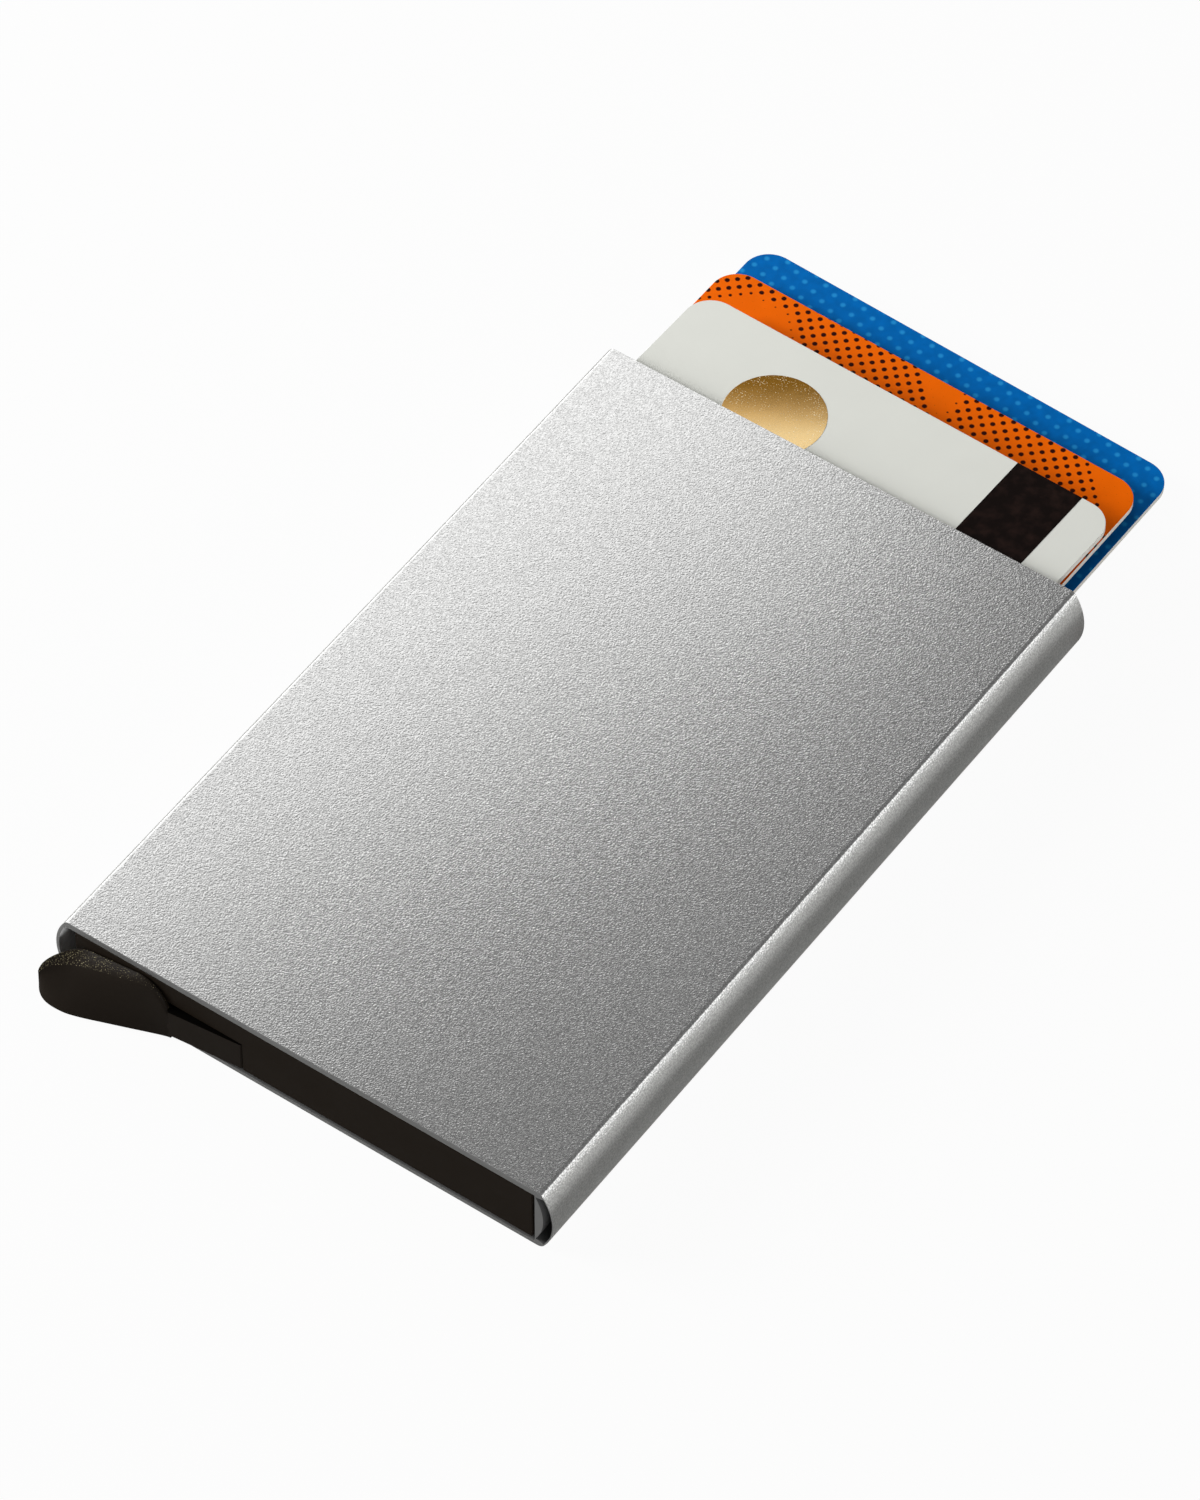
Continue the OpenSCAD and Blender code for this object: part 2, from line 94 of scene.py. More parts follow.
# Numbers of a surface's materials: the shell's four, and the lever's three.
SKIN, CUT, INSIDE_SHADE, INSIDE_LIGHT = 0, 1, 2, 3
SMOOTH, GRAINED, SLIT_SHADE = 0, 1, 2
SHELL_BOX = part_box("shell")
CASE_HEIGHT = SHELL_BOX[1].z - SHELL_BOX[0].z
CASE_WIDTH = SHELL_BOX[1].x - SHELL_BOX[0].x
LEVER_END = SHELL_BOX[0].y
MOUTH = SHELL_BOX[1].y


def to_linear(colour):
    """Turns an sRGB hex colour, such as 'C8C8C6', into linear red, green, blue and full alpha."""
    parts = [int(colour[i:i + 2], 16) / 255 for i in (0, 2, 4)]
    linear = [c / 12.92 if c <= 0.04045 else ((c + 0.055) / 1.055) ** 2.4 for c in parts]
    return (*linear, 1.0)


def length(name, description, millimetres):
    """A length property whose default is given in millimetres."""
    return bpy.props.FloatProperty(
        name=name, description=description, default=millimetres * MM, unit="LENGTH", precision=5)


def colour(name, description, hex_value):
    """A colour property whose default is an sRGB hex value."""
    return bpy.props.FloatVectorProperty(
        name=name, description=description, default=to_linear(hex_value), size=4,
        min=0.0, max=1.0, subtype="COLOR")


def number(name, description, value):
    """A plain number property."""
    return bpy.props.FloatProperty(name=name, description=description, default=value)


def direction(name, description, radians):
    """An angle property."""
    return bpy.props.FloatProperty(name=name, description=description, default=radians, unit="ROTATION")


def position(name, description, *millimetres):
    """A place property whose default is given in millimetres."""
    return bpy.props.FloatVectorProperty(
        name=name, description=description, default=[value * MM for value in millimetres],
        size=len(millimetres), unit="LENGTH", precision=6)


def card_place(name, *millimetres):
    """Where a card lies: across, out of the mouth, and under the shell's top."""
    return position(name, "Across, out of the mouth, and under the shell's top", *millimetres)


def card_turn(name, *degrees):
    """How a card is turned: its tilt across, and its turn in its plane."""
    return bpy.props.FloatVectorProperty(
        name=name, description="Tilt across, and turn in its plane",
        default=[math.radians(value) for value in degrees], size=2, unit="ROTATION")


class CaseSizes(bpy.types.PropertyGroup):
    """Sizes of the extruded shell."""

    flat_width: length("Flat width", "Distance between the two upper creases", 59.16)
    slot_width: length("Slot width", "Clear width of the card slot", 57.4)
    wall: length("Wall", "Thickness of the flat walls", 0.9)
    side_wall: length("Side wall", "Thickness of the side walls at mid height", 0.4)
    crease: length("Crease radius", "Small radius along each upper crease", 0.5)
    lower_crease: length("Lower crease radius", "Radius along each lower crease", 1.0)
    hollow_edge: length("Hollow edge", "Step from the slot's roof or floor to a side channel's", 0.135)
    rib: length("Rib", "Thickness of a rib at mid height", 1.2)
    rib_root: length("Rib root", "Thickness of a rib at its foot and head", 0.28)
    rib_cut: length("Rib cut", "How far the left rib is milled back at the lever end", 3.0)
    window_start: length("Window start", "Distance of a latch window from the lever end", 5.2)
    window_length: length("Window length", "Length and height of a latch window", 3.0)
    edge: length("Edge", "Radius of the outer edge at both ends", 0.05)
    inner_edge: length("Inner edge", "Radius of the channels' edges, and the slot's at the mouth", 0.04)
    rebate: length("Rebate", "Depth of the rebate in the slot's floor at the lever end", 0.32)
    rebate_length: length("Rebate length", "How far the rebate runs in from the lever end", 1.2)
    taper: length("Taper", "How much the side channel's outer wall thins towards the lever end", 0.28)
    taper_length: length("Taper length", "How far the taper runs in from the lever end", 3.0)


class LeverSizes(bpy.types.PropertyGroup):
    """Sizes of the thumb lever's pad and of the springs and the pin."""

    pad_start: length("Pad start", "Distance of the pad's inner end left of the middle", 16.2)
    pad_back: length("Pad back", "Gap between the pad and the shell's end", 0.1)
    strip_top: length("Strip top", "Height of the strip's top beside the pad", 4.85)
    seam: length("Seam", "How far the strip's end is drawn back from the cap", 0.15)
    lower_edge: length("Lower edge", "Rounding of the pad's lower front edge", 0.35)
    brow: length("Brow", "Rounding between the pad's smooth front and its grained top", 1.1)
    hollow: length("Hollow", "Depth of the thumb's hollow in the pad's front", 0.16)
    pivot_x: length("Pivot across", "Distance of the pivot left of the middle", 12.6)
    pivot_y: length("Pivot in", "Distance of the pivot from the lever end", 3.4)
    coil: length("Coil", "Radius of the return spring's coil", 2.5)
    wire: length("Wire", "Radius of the return spring's wire", 0.2)
    pitch: length("Pitch", "Rise of the coil over one turn", 0.55)
    leg: length("Leg", "Length of the return spring's moving leg", 2.0)
    coil_low: length("Coil height", "Height of the wire's middle at the coil's lower end", 3.2125)
    turns: number("Turns", "Turns of the return spring", 2.25)


class CardSizes(bpy.types.PropertyGroup):
    """Sizes and places of the cards."""

    length: length("Length", "Length of a card", 85.6)
    width: length("Width", "Width of a card", 53.98)
    thickness: length("Thickness", "Thickness of a card", 0.76)
    corner: length("Corner", "Corner radius of a card", 3.18)
    edge: length("Edge", "Radius of a card's punched edge", 0.03)
    film: length("Film", "Thickness of the stripe and of the foil on the card", 0.02)
    stripe_width: length("Stripe width", "Width of the magnetic stripe", 8.3)
    stripe_side: length("Stripe side", "Distance of the stripe from the card's right edge", 4.5)
    disc_radius: length("Disc radius", "Radius of the foil disc", 5.73)
    disc_x: length("Disc across", "Distance of the disc's middle left of the card's middle", 10.5)
    disc_y: length("Disc in", "Distance of the disc's middle from the card's outer edge", 9.98)
    white_place: card_place("White card", 0.19, 12.63, 1.069)
    orange_place: card_place("Orange card", -0.99, 19.75, 4.230)
    blue_place: card_place("Blue card", -0.49, 25.21, 6.023)
    white_turn: card_turn("White card turn", 0.0, -1.23)
    orange_turn: card_turn("Orange card turn", 1.342, -0.43)
    blue_turn: card_turn("Blue card turn", 2.457, -0.31)


class Finishes(bpy.types.PropertyGroup):
    """Colours of the materials."""

    aluminium: colour("Aluminium", "Bead-blasted anodised aluminium", "EEEEED")
    # partly painted shade: the sawn ends' darker grey stands in for the shade they fall in, and their rough
    # sawn finish is real
    cut_end_painted_shade: colour("Cut end", "Sawn and anodised end faces of the extrusion", "8A8A8A")
    # painted shade: the inside's dark grey stands in for the shade in the channels and the slot
    inside_painted_shade: colour("Inner wall", "Colour of the shell's inside as extruded", "5C5C5C")
    # painted light: the milled pocket's pale grey stands in for the light that falls into it
    inside_painted_light: colour("Milled wall", "Colour of the shell's inside where it is milled", "ECECEC")
    nylon: colour("Nylon", "Black moulded nylon of the cap and the lever", "19140F")
    # painted shade: near black on the strip's top under the cap, so that the slit above it looks dark
    painted_slit_shade: colour("Rubbed nylon", "Black nylon of the lever where it slides under the cap", "060504")
    # painted highlight: pale flecks that stand in for the grain's sparkle in the light
    painted_sparkle: colour("Grain flecks", "Pale glass flecks in the lever's grained top", "E2D6A8")
    steel: colour("Steel", "Bright steel of the pin and the springs", "C9C7C3")
    white_card: colour("White card", "Printed face of the white card", "DCDDD6")
    stripe: colour("Stripe", "Magnetic stripe", "110907")
    foil: colour("Foil", "Gold foil", "F8D698")
    # painted shade: a darker gold for the half of the disc that faces the dark room
    foil_painted_shade: colour("Deep foil", "Gold foil where it faces the dark room", "E6A640")
    foil_speck: colour("Foil specks", "Pale flakes in the gold foil", "FFF3D2")
    orange: colour("Orange", "Printed face of the orange card", "F26800")
    orange_dot: colour("Orange card's dots", "Dark dots on the orange card", "2E0C07")
    blue: colour("Blue", "Printed face of the blue card", "0066B4")
    blue_dot: colour("Blue card's dots", "Pale dots on the blue card", "2C9FE0")
    core: colour("Card core", "Unprinted plastic at a card's edge", "F6F2E9")


class StageSettings(bpy.types.PropertyGroup):
    """The lights and the camera."""

    softbox: number("Softbox", "Radiance of the large softbox on the left", 0.93)
    key: number("Key light", "Radiance of the key light at the front left", 26.5)
    fill: number("Fill light", "Radiance of the low fill light at the front right", 7.0)
    room: number("Room", "Radiance of the grey room above the horizon", 0.15)
    horizon: number("Horizon", "Radiance of the pale walls near the horizon", 1.35)
    floor_glow: number("Floor glow", "Share of plain white that the camera sees in the floor", 0.955)
    floor_mirror: number("Floor glow in metal", "Share of plain white that metal sees in the floor", 0.03)
    lens: number("Lens", "Focal length of the camera, in millimetres", 206.752)
    azimuth: direction("Azimuth", "Camera's direction round the object", math.radians(35.30084))
    elevation: direction("Elevation", "Camera's height above the horizon", math.radians(50.67028))
    roll: direction("Roll", "Turn of the camera about its axis", 0.00100519)
    distance: length("Distance", "Distance of the camera", 888.1506)
    pan: position("Pan", "Shift of the camera to its right and down", 1.084257, 0.868135)
    target: position("Target", "Point that the camera looks at", 0.0, 2.05, 8.9)


class HolderSettings(bpy.types.PropertyGroup):
    """All the sizes and colours of the card holder."""

    case: bpy.props.PointerProperty(type=CaseSizes)
    lever: bpy.props.PointerProperty(type=LeverSizes)
    cards: bpy.props.PointerProperty(type=CardSizes)
    finish: bpy.props.PointerProperty(type=Finishes)
    stage: bpy.props.PointerProperty(type=StageSettings)


def settings():
    """The scene's settings of the card holder."""
    return bpy.context.scene.card_holder


# Surfaces: every shape is a grid of points or a loop carried along a path

def arc_radius(half, rise):
    """Radius of an arc: half the chord squared plus the rise squared, over twice the rise."""
    return (half * half + rise * rise) / (2 * rise)


def arc(centre, radius, start, end, count):
    """Points of an arc: the centre plus the radius times cosine and sine of evenly spaced angles."""
    angle = np.linspace(start, end, count)
    return np.column_stack([centre[0] + radius * np.cos(angle), centre[1] + radius * np.sin(angle)])


def offset_loop(loop, distance):
    """Moves each corner of a closed counter-clockwise loop outwards, so that both its edges move by the
    distance: along the sum of their normals, by twice the distance over that sum's squared length."""
    edge = np.roll(loop, -1, axis=0) - loop
    normal = np.column_stack([edge[:, 1], -edge[:, 0]])
    normal /= np.linalg.norm(normal, axis=1)[:, None]
    both = normal + np.roll(normal, 1, axis=0)
    return loop + 2 * distance * both / (both ** 2).sum(1)[:, None]


def quads(rows, columns, skip=None):
    """Quads between neighbouring rows and columns of a grid whose last column joins its first, less the
    cells that skip marks."""
    row = np.arange(rows - 1)[:, None] * columns
    here = np.arange(columns)[None, :]
    after = (here + 1) % columns
    faces = np.stack([row + here, row + after, row + columns + after, row + columns + here], axis=-1)
    return faces[~skip] if skip is not None else faces.reshape(-1, 4)


def carried(loop, levels, growth, share=1.0):
    """Rings of a loop in x and z carried along y: at each level the loop is offset by that level's growth,
    of which each corner takes its share in x and in z."""
    trial = 0.1 * MM
    step = (offset_loop(loop, trial) - loop) / trial * share
    rings = [np.insert(loop + step * g, 1, y, axis=1) for y, g in zip(levels, growth)]
    return np.array(rings)


def eased(start, end, edge, sign, middle=(), at_start=True):
    """Levels and growth along y for a wall with a quarter-round edge at its end, and at its start too if
    at_start is true: each step goes one minus sine in and one minus cosine out."""
    turn = np.radians([90, 60, 30, 0])
    into, out = edge * (1 - np.sin(turn)), sign * edge * (1 - np.cos(turn))
    first, first_growth = (start + into, out) if at_start else ([start], [0.0])
    levels = np.concatenate([first, middle, end - into[::-1]])
    return levels, np.concatenate([first_growth, np.zeros(len(middle)), out[::-1]])


def new_object(name, data):
    """Adds an object of the given data to the scene."""
    made = bpy.data.objects.new(name, data)
    bpy.context.scene.collection.objects.link(made)
    return made


def vertex_places(mesh):
    """A mesh's vertices as rows of x, y and z."""
    found = np.zeros(len(mesh.vertices) * 3)
    mesh.vertices.foreach_get("co", found)
    return found.reshape(-1, 3)


class Surface:
    """Points and faces gathered from several grids, each face with the number of its material."""

    def __init__(self):
        self.points, self.faces, self.materials, self.count = [], [], [], 0

    def add(self, points, faces, material=0):
        """Adds a block of points with faces that count from the block's first point."""
        points = np.asarray(points, float).reshape(-1, 3)
        self.points.append(points)
        self.faces += [[int(i) + self.count for i in face] for face in faces]
        self.materials += [material] * len(faces)
        self.count += len(points)

    def halves(self, rings, marked, material, other):
        """Adds rings in two materials: the other one on the marked cells."""
        size = len(rings), rings.shape[1]
        self.add(rings, quads(*size, marked), material)
        self.add(rings, quads(*size, ~marked), other)

    def close(self, rings, material=0):
        """Closes the first and the last ring with a flat face each."""
        for ring in (rings[0], rings[-1]):
            self.add(ring, [list(range(len(ring)))], material)

    def flat(self, loops, material=0):
        """Adds a flat face whose outline is the first loop and whose holes are the others."""
        triangles = tessellate_polygon([[Vector(p) for p in loop] for loop in loops])
        self.add(np.concatenate(loops), triangles, material)

    def piece(self, name, materials, sharp=30.0):
        """Makes the mesh object: equal points become one, faces turn outwards, and edges over an angle
        stay sharp. A modifier lets large flats keep their own direction beside small rounded faces."""
        mesh = bpy.data.meshes.new(name)
        mesh.from_pydata(np.concatenate(self.points).tolist(), [], self.faces)
        mesh.polygons.foreach_set("material_index", np.array(self.materials, np.int32))
        work = bmesh.new()
        work.from_mesh(mesh)
        bmesh.ops.remove_doubles(work, verts=work.verts, dist=SAME)
        bmesh.ops.recalc_face_normals(work, faces=work.faces)
        work.to_mesh(mesh)
        work.free()
        mesh.shade_smooth()
        mesh.set_sharp_from_angle(angle=math.radians(sharp))
        for material in materials:
            mesh.materials.append(material)
        made = new_object(name, mesh)
        even = made.modifiers.new("even shading", "WEIGHTED_NORMAL")
        even.weight = 100
        even.keep_sharp = True
        return made


def merged_copy(node, notch=None):
    """Points and faces of a CAD node's copy: its loose triangles are merged and its flats joined. A notch,
    given by a point, drops what lies in front of the point and also left of it or above it."""
    source = frame["nodes"][node].data
    mesh = bpy.data.meshes.new(node + " copy")
    mesh.from_pydata(vertex_places(source).tolist(), [], [list(p.vertices) for p in source.polygons])
    work = bmesh.new()
    work.from_mesh(mesh)
    bmesh.ops.remove_doubles(work, verts=work.verts, dist=LOOSE)
    if notch:
        for normal in ((1, 0, 0), (0, 1, 0), (0, 0, 1)):
            parts = [*work.verts, *work.edges, *work.faces]
            bmesh.ops.bisect_plane(work, geom=parts, dist=SAME, plane_co=notch, plane_no=normal)
        middles = [(face, face.calc_center_median()) for face in work.faces]
        beyond = [face for face, middle in middles
                  if middle.y < notch[1] and (middle.x < notch[0] or middle.z > notch[2])]
        bmesh.ops.delete(work, geom=beyond, context="FACES")
        rim = [edge for edge in work.edges if edge.is_boundary]
        filled = bmesh.ops.holes_fill(work, edges=rim, sides=0)
        bmesh.ops.triangulate(work, faces=filled["faces"])
    bmesh.ops.dissolve_limit(work, angle_limit=math.radians(0.5), verts=work.verts, edges=work.edges)
    work.to_mesh(mesh)
    work.free()
    points, faces = vertex_places(mesh), [list(p.vertices) for p in mesh.polygons]
    bpy.data.meshes.remove(mesh)
    return points, faces


def round_edges(made, width):
    """Adds a bevel to a piece's sharp edges, ahead of its even shading."""
    rounding = made.modifiers.new("edge rounding", "BEVEL")
    rounding.width = width
    rounding.segments = 2
    rounding.limit_method = "ANGLE"
    rounding.angle_limit = math.radians(35.0)
    made.modifiers.move(1, 0)
    return made


def dressed_copy(node, name, material, bevel):
    """A merged copy of a CAD node with rounded edges, in one material."""
    made = Surface()
    made.add(*merged_copy(node))
    return round_edges(made.piece(name, [material], sharp=35.0), bevel)


def through(stations, steps):
    """A smooth curve through rows of values: between two rows each value follows the cubic whose slope at
    either row is half the difference of that row's neighbours."""
    before_first, after_last = 2 * stations[:1] - stations[1:2], 2 * stations[-1:] - stations[-2:-1]
    padded = np.concatenate([before_first, stations, after_last])
    before, start, end, after = padded[:-3], padded[1:-2], padded[2:-1], padded[3:]
    t = np.linspace(0, 1, steps, endpoint=False)[None, :, None]
    before, start, end, after = (rows[:, None, :] for rows in (before, start, end, after))
    square = 2 * before - 5 * start + 4 * end - after
    cube = 3 * start - before - 3 * end + after
    curve = 0.5 * (2 * start + (end - before) * t + square * t ** 2 + cube * t ** 3)
    return np.concatenate([curve.reshape(-1, stations.shape[1]), stations[-1:]])


def soft_corners(corners, radii, count):
    """Sections whose corners are rounded; corners holds, for each section, those of a closed outline. A
    corner becomes a parabola that starts and ends its radius away along both its edges, or just under half
    an edge away where the edge is short."""
    ahead = np.roll(corners, -1, axis=1) - corners
    length_ahead = np.linalg.norm(ahead, axis=2, keepdims=True) + 1e-12
    back = -np.roll(ahead, 1, axis=1)
    length_back = np.roll(length_ahead, 1, axis=1)
    reach = np.asarray(radii)[None, :, None]
    most = 0.49
    start = corners + back / length_back * np.minimum(reach, most * length_back)
    end = corners + ahead / length_ahead * np.minimum(reach, most * length_ahead)
    t = np.linspace(0, 1, count)[None, None, :, None]
    start, middle, end = start[:, :, None], corners[:, :, None], end[:, :, None]
    curve = (1 - t) ** 2 * start + 2 * t * (1 - t) * middle + t ** 2 * end
    return curve.reshape(len(corners), -1, 3)


def tube(path, radius, sides):
    """A round tube along a path: at each point a circle of the radius stands square to the mean direction
    of the two neighbouring stretches, one axis of it lying level."""
    way = np.gradient(path, axis=0)
    way /= np.linalg.norm(way, axis=1)[:, None]
    level = np.cross([0, 0, 1], way)
    level /= np.linalg.norm(level, axis=1)[:, None]
    up = np.cross(way, level)
    turn = np.linspace(0, 2 * math.pi, sides, endpoint=False)[None, :, None]
    rings = path[:, None] + radius * (level[:, None] * np.cos(turn) + up[:, None] * np.sin(turn))
    made = Surface()
    made.add(rings, quads(len(path), sides))
    made.close(rings)
    return made


def stand_for(piece, node):
    """Rides a piece on a CAD node's body, in that node's place, and hides the node."""
    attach(piece, frame["nodes"][node]["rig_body"])
    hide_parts(node)


# Materials

def add(tree, kind, inputs=None, **options):
    """Adds a node, sets its options, and fills its inputs with values or with other nodes' outputs."""
    made = tree.nodes.new(kind)
    for key, value in options.items():
        setattr(made, key, value)
    for key, value in (inputs or {}).items():
        if isinstance(value, bpy.types.NodeSocket):
            tree.links.new(value, made.inputs[key])
        else:
            made.inputs[key].default_value = value
    return made


def new_material(name):
    """A material with nothing in it but its output, and the node tree to fill."""
    made = bpy.data.materials.new(name)
    made.use_nodes = True
    made.node_tree.nodes.clear()
    return made, made.node_tree


def close_material(tree, surface):
    """Joins a shader to the tree's output."""
    add(tree, "ShaderNodeOutputMaterial", {"Surface": surface})


def coat(made, tree, inputs):
    """Ends a material with one layered surface of the given values, and returns it."""
    close_material(tree, add(tree, "ShaderNodeBsdfPrincipled", inputs).outputs["BSDF"])
    return made


def relief(tree, place, size, detail, depth):
    """Direction of a surface whose bumps have a size, in the place's units, and a depth in metres."""
    bumps = add(tree, "ShaderNodeTexNoise", {"Vector": place, "Scale": 1 / size, "Detail": detail})
    return add(tree, "ShaderNodeBump", {
        "Height": bumps.outputs["Fac"], "Distance": depth, "Strength": 1.0}).outputs["Normal"]


def drift(tree, place, size, detail, span, ends):
    """A value that drifts over patches of a size: the noise's span becomes the span between the ends."""
    patches = add(tree, "ShaderNodeTexNoise", {"Vector": place, "Scale": 1 / size, "Detail": detail})
    return add(tree, "ShaderNodeMapRange", {
        "Value": patches.outputs["Fac"], "From Min": span[0], "From Max": span[1],
        "To Min": ends[0], "To Max": ends[1]}).outputs["Result"]


def mottled(tree, place, tint, size, detail, span, ends):
    """A colour whose brightness drifts over patches of a size."""
    tone = drift(tree, place, size, detail, span, ends)
    return add(tree, "ShaderNodeMix", {
        "Factor": 1.0, 6: tint, 7: tone}, data_type="RGBA", blend_type="MULTIPLY").outputs[2]


def even_finish(name, tint, size, depth, inputs):
    """A material of one colour whose bumps have a size and a depth."""
    made, tree = new_material(name)
    place = add(tree, "ShaderNodeTexCoord").outputs["Object"]
    bumps = relief(tree, place, size, detail=2.0, depth=depth)
    return coat(made, tree, {"Base Color": tint, "Normal": bumps, **inputs})


def blasted_aluminium():
    """Bead-blasted, clear anodised aluminium."""
    # The beads leave dimples, each with its own lean and its own depth of anodised skin: under a soft
    # light they sparkle as a fine grey grain on a neutral satin metal. They are drawn about a sixth of a
    # millimetre wide, coarser than the finest real ones, which would be lost between the pixels.
    made, tree = new_material("bead-blasted anodised aluminium")
    place = add(tree, "ShaderNodeTexCoord").outputs["Object"]
    tint = mottled(tree, place, settings().finish.aluminium, size=0.18 * MM, detail=0.0,
                   span=(0.3, 0.7), ends=(0.81, 1.13))
    return coat(made, tree, {
        "Base Color": tint, "Metallic": 1.0, "Roughness": 0.22,
        "Normal": relief(tree, place, size=0.17 * MM, detail=0.0, depth=0.017 * MM)})


def sawn_aluminium():
    """Sawn, tumbled and anodised end faces of the extrusion."""
    # The cut faces are rougher than the blasted skin; their darker grey tint is painted shade.
    return even_finish("sawn anodised aluminium", settings().finish.cut_end_painted_shade, size=0.12 * MM,
                       depth=0.006 * MM, inputs={"Metallic": 1.0, "Roughness": 0.42})


def inner_aluminium(name, tint, metallic):
    """Anodised inner walls in one of two tints: a dark grey that is painted shade, or a pale grey without
    metal that is painted light.
    """
    # Inside, the anodised skin over fine lengthwise lines scatters the light, so the walls are partly matt;
    # their dark or pale tint is painted shade or painted light.
    made, tree = new_material(name)
    place = add(tree, "ShaderNodeTexCoord").outputs["Object"]
    lines = add(tree, "ShaderNodeMapping", {"Vector": place, "Scale": (1.0, 0.02, 1.0)}).outputs["Vector"]
    return coat(made, tree, {
        "Base Color": tint, "Metallic": metallic, "Roughness": 0.5, "IOR": 1.6,
        "Normal": relief(tree, lines, size=0.15 * MM, detail=2.0, depth=0.006 * MM)})


def moulded_nylon(name, tint, grain, depth, roughness, gloss):
    """Black glass-filled nylon from a textured mould; gloss is its specular level."""
    # The mould's fine texture scatters the light, so it looks matt; the carbon black leaves a brown cast.
    made, tree = new_material(name)
    place = add(tree, "ShaderNodeTexCoord").outputs["Object"]
    rough = drift(tree, place, size=4 * MM, detail=3.0, span=(0.3, 0.7),
                  ends=(roughness - 0.05, roughness + 0.05))
    return coat(made, tree, {
        "Base Color": tint, "Roughness": rough, "IOR": 1.53, "Specular IOR Level": gloss,
        "Normal": relief(tree, place, size=grain, detail=2.0, depth=depth)})


def grained_nylon():
    """Black glass-filled nylon from a coarsely etched mould."""
    # The etched grain is deep enough to look dull and darker in its pits; the pale, faintly golden flecks
    # on its peaks are painted highlights that stand in for its sparkle.
    finish = settings().finish
    made, tree = new_material("grained black nylon")
    place = add(tree, "ShaderNodeTexCoord").outputs["Object"]
    sparkle_grains = add(tree, "ShaderNodeTexNoise", {"Vector": place, "Scale": 1 / (0.1 * MM), "Detail": 0.0})
    # the painted sparkle is densest at the pad's outer end, where the light catches the grain, and fades
    # towards the lever's root
    across = add(tree, "ShaderNodeSeparateXYZ", {0: place})
    sharp = add(tree, "ShaderNodeMapRange", {
        "Value": across.outputs["X"], "From Min": -31 * MM, "From Max": -17 * MM,
        "To Min": 0.0, "To Max": -0.14})
    share = add(tree, "ShaderNodeMath", {
        0: sharp.outputs["Result"], 1: sparkle_grains.outputs["Fac"]}, operation="ADD")
    painted_sparkle = add(tree, "ShaderNodeMapRange", {
        "Value": share.outputs[0], "From Min": 0.61, "From Max": 0.74, "To Min": 0.0, "To Max": 0.3})
    shade = add(tree, "ShaderNodeMix", {
        "Factor": painted_sparkle.outputs["Result"], 6: finish.nylon, 7: finish.painted_sparkle}, data_type="RGBA")
    return coat(made, tree, {
        "Base Color": shade.outputs[2], "Roughness": 0.5, "IOR": 1.53, "Specular IOR Level": 0.06,
        "Normal": relief(tree, place, size=0.17 * MM, detail=1.0, depth=0.03 * MM)})


def drawn_steel():
    """Bright drawn and ground steel."""
    # Drawing leaves faint lines a tenth of a millimetre apart on a bright, slightly warm grey.
    return even_finish("drawn steel", settings().finish.steel, size=0.1 * MM, depth=0.003 * MM,
                       inputs={"Metallic": 1.0, "Roughness": 0.27})


def card_core():
    """Unprinted PVC at a card's punched edge."""
    # Punching leaves the cream core a little rough, so the edge shows as a pale matt line.
    return even_finish("punched pvc core", settings().finish.core, size=0.15 * MM, depth=0.004 * MM,
                       inputs={"Roughness": 0.55, "IOR": 1.52})


def printed_face(name, tint):
    """Laminated PVC card face; tint(tree, where) returns the printed colour for a place in millimetres."""
    # The overlay film is satin and very slightly wavy, over flat offset print.
    made, tree = new_material(name)
    where = add(tree, "ShaderNodeUVMap", uv_map="face").outputs["UV"]
    return coat(made, tree, {
        "Base Color": tint(tree, where), "Roughness": 0.42, "IOR": 1.5, "Specular IOR Level": 0.04,
        "Normal": relief(tree, where, size=1.6, detail=2.0, depth=0.004 * MM)})


def dots(tree, where, pitch, turn, shift):
    """Distance in millimetres from the nearest dot of a square grid: the place is turned and divided by
    the pitch, its whole part is dropped, and the length from the cell's middle is taken."""
    moved = add(tree, "ShaderNodeMapping", {"Vector": where, "Location": (-shift[0], -shift[1], 0.0)})
    turned = add(tree, "ShaderNodeMapping", {
        "Vector": moved.outputs["Vector"], "Rotation": (0.0, 0.0, turn),
        "Scale": (1 / pitch, 1 / pitch, 0.0)})
    found = turned.outputs["Vector"]
    half = (0.5, 0.5, 0.0)
    for operation, value in (("ADD", {1: half}), ("FRACTION", {}), ("SUBTRACT", {1: half})):
        found = add(tree, "ShaderNodeVectorMath", {0: found, **value}, operation=operation).outputs[0]
    away = add(tree, "ShaderNodeVectorMath", {0: found}, operation="LENGTH").outputs["Value"]
    return add(tree, "ShaderNodeMath", {0: away, 1: pitch}, operation="MULTIPLY").outputs[0]


def white_tint(tree, where):
    """Plain white card with barely visible mottling."""
    return mottled(tree, where, settings().finish.white_card, size=6.0, detail=3.0, span=(0.3, 0.7),
                   ends=(0.988, 1.012))


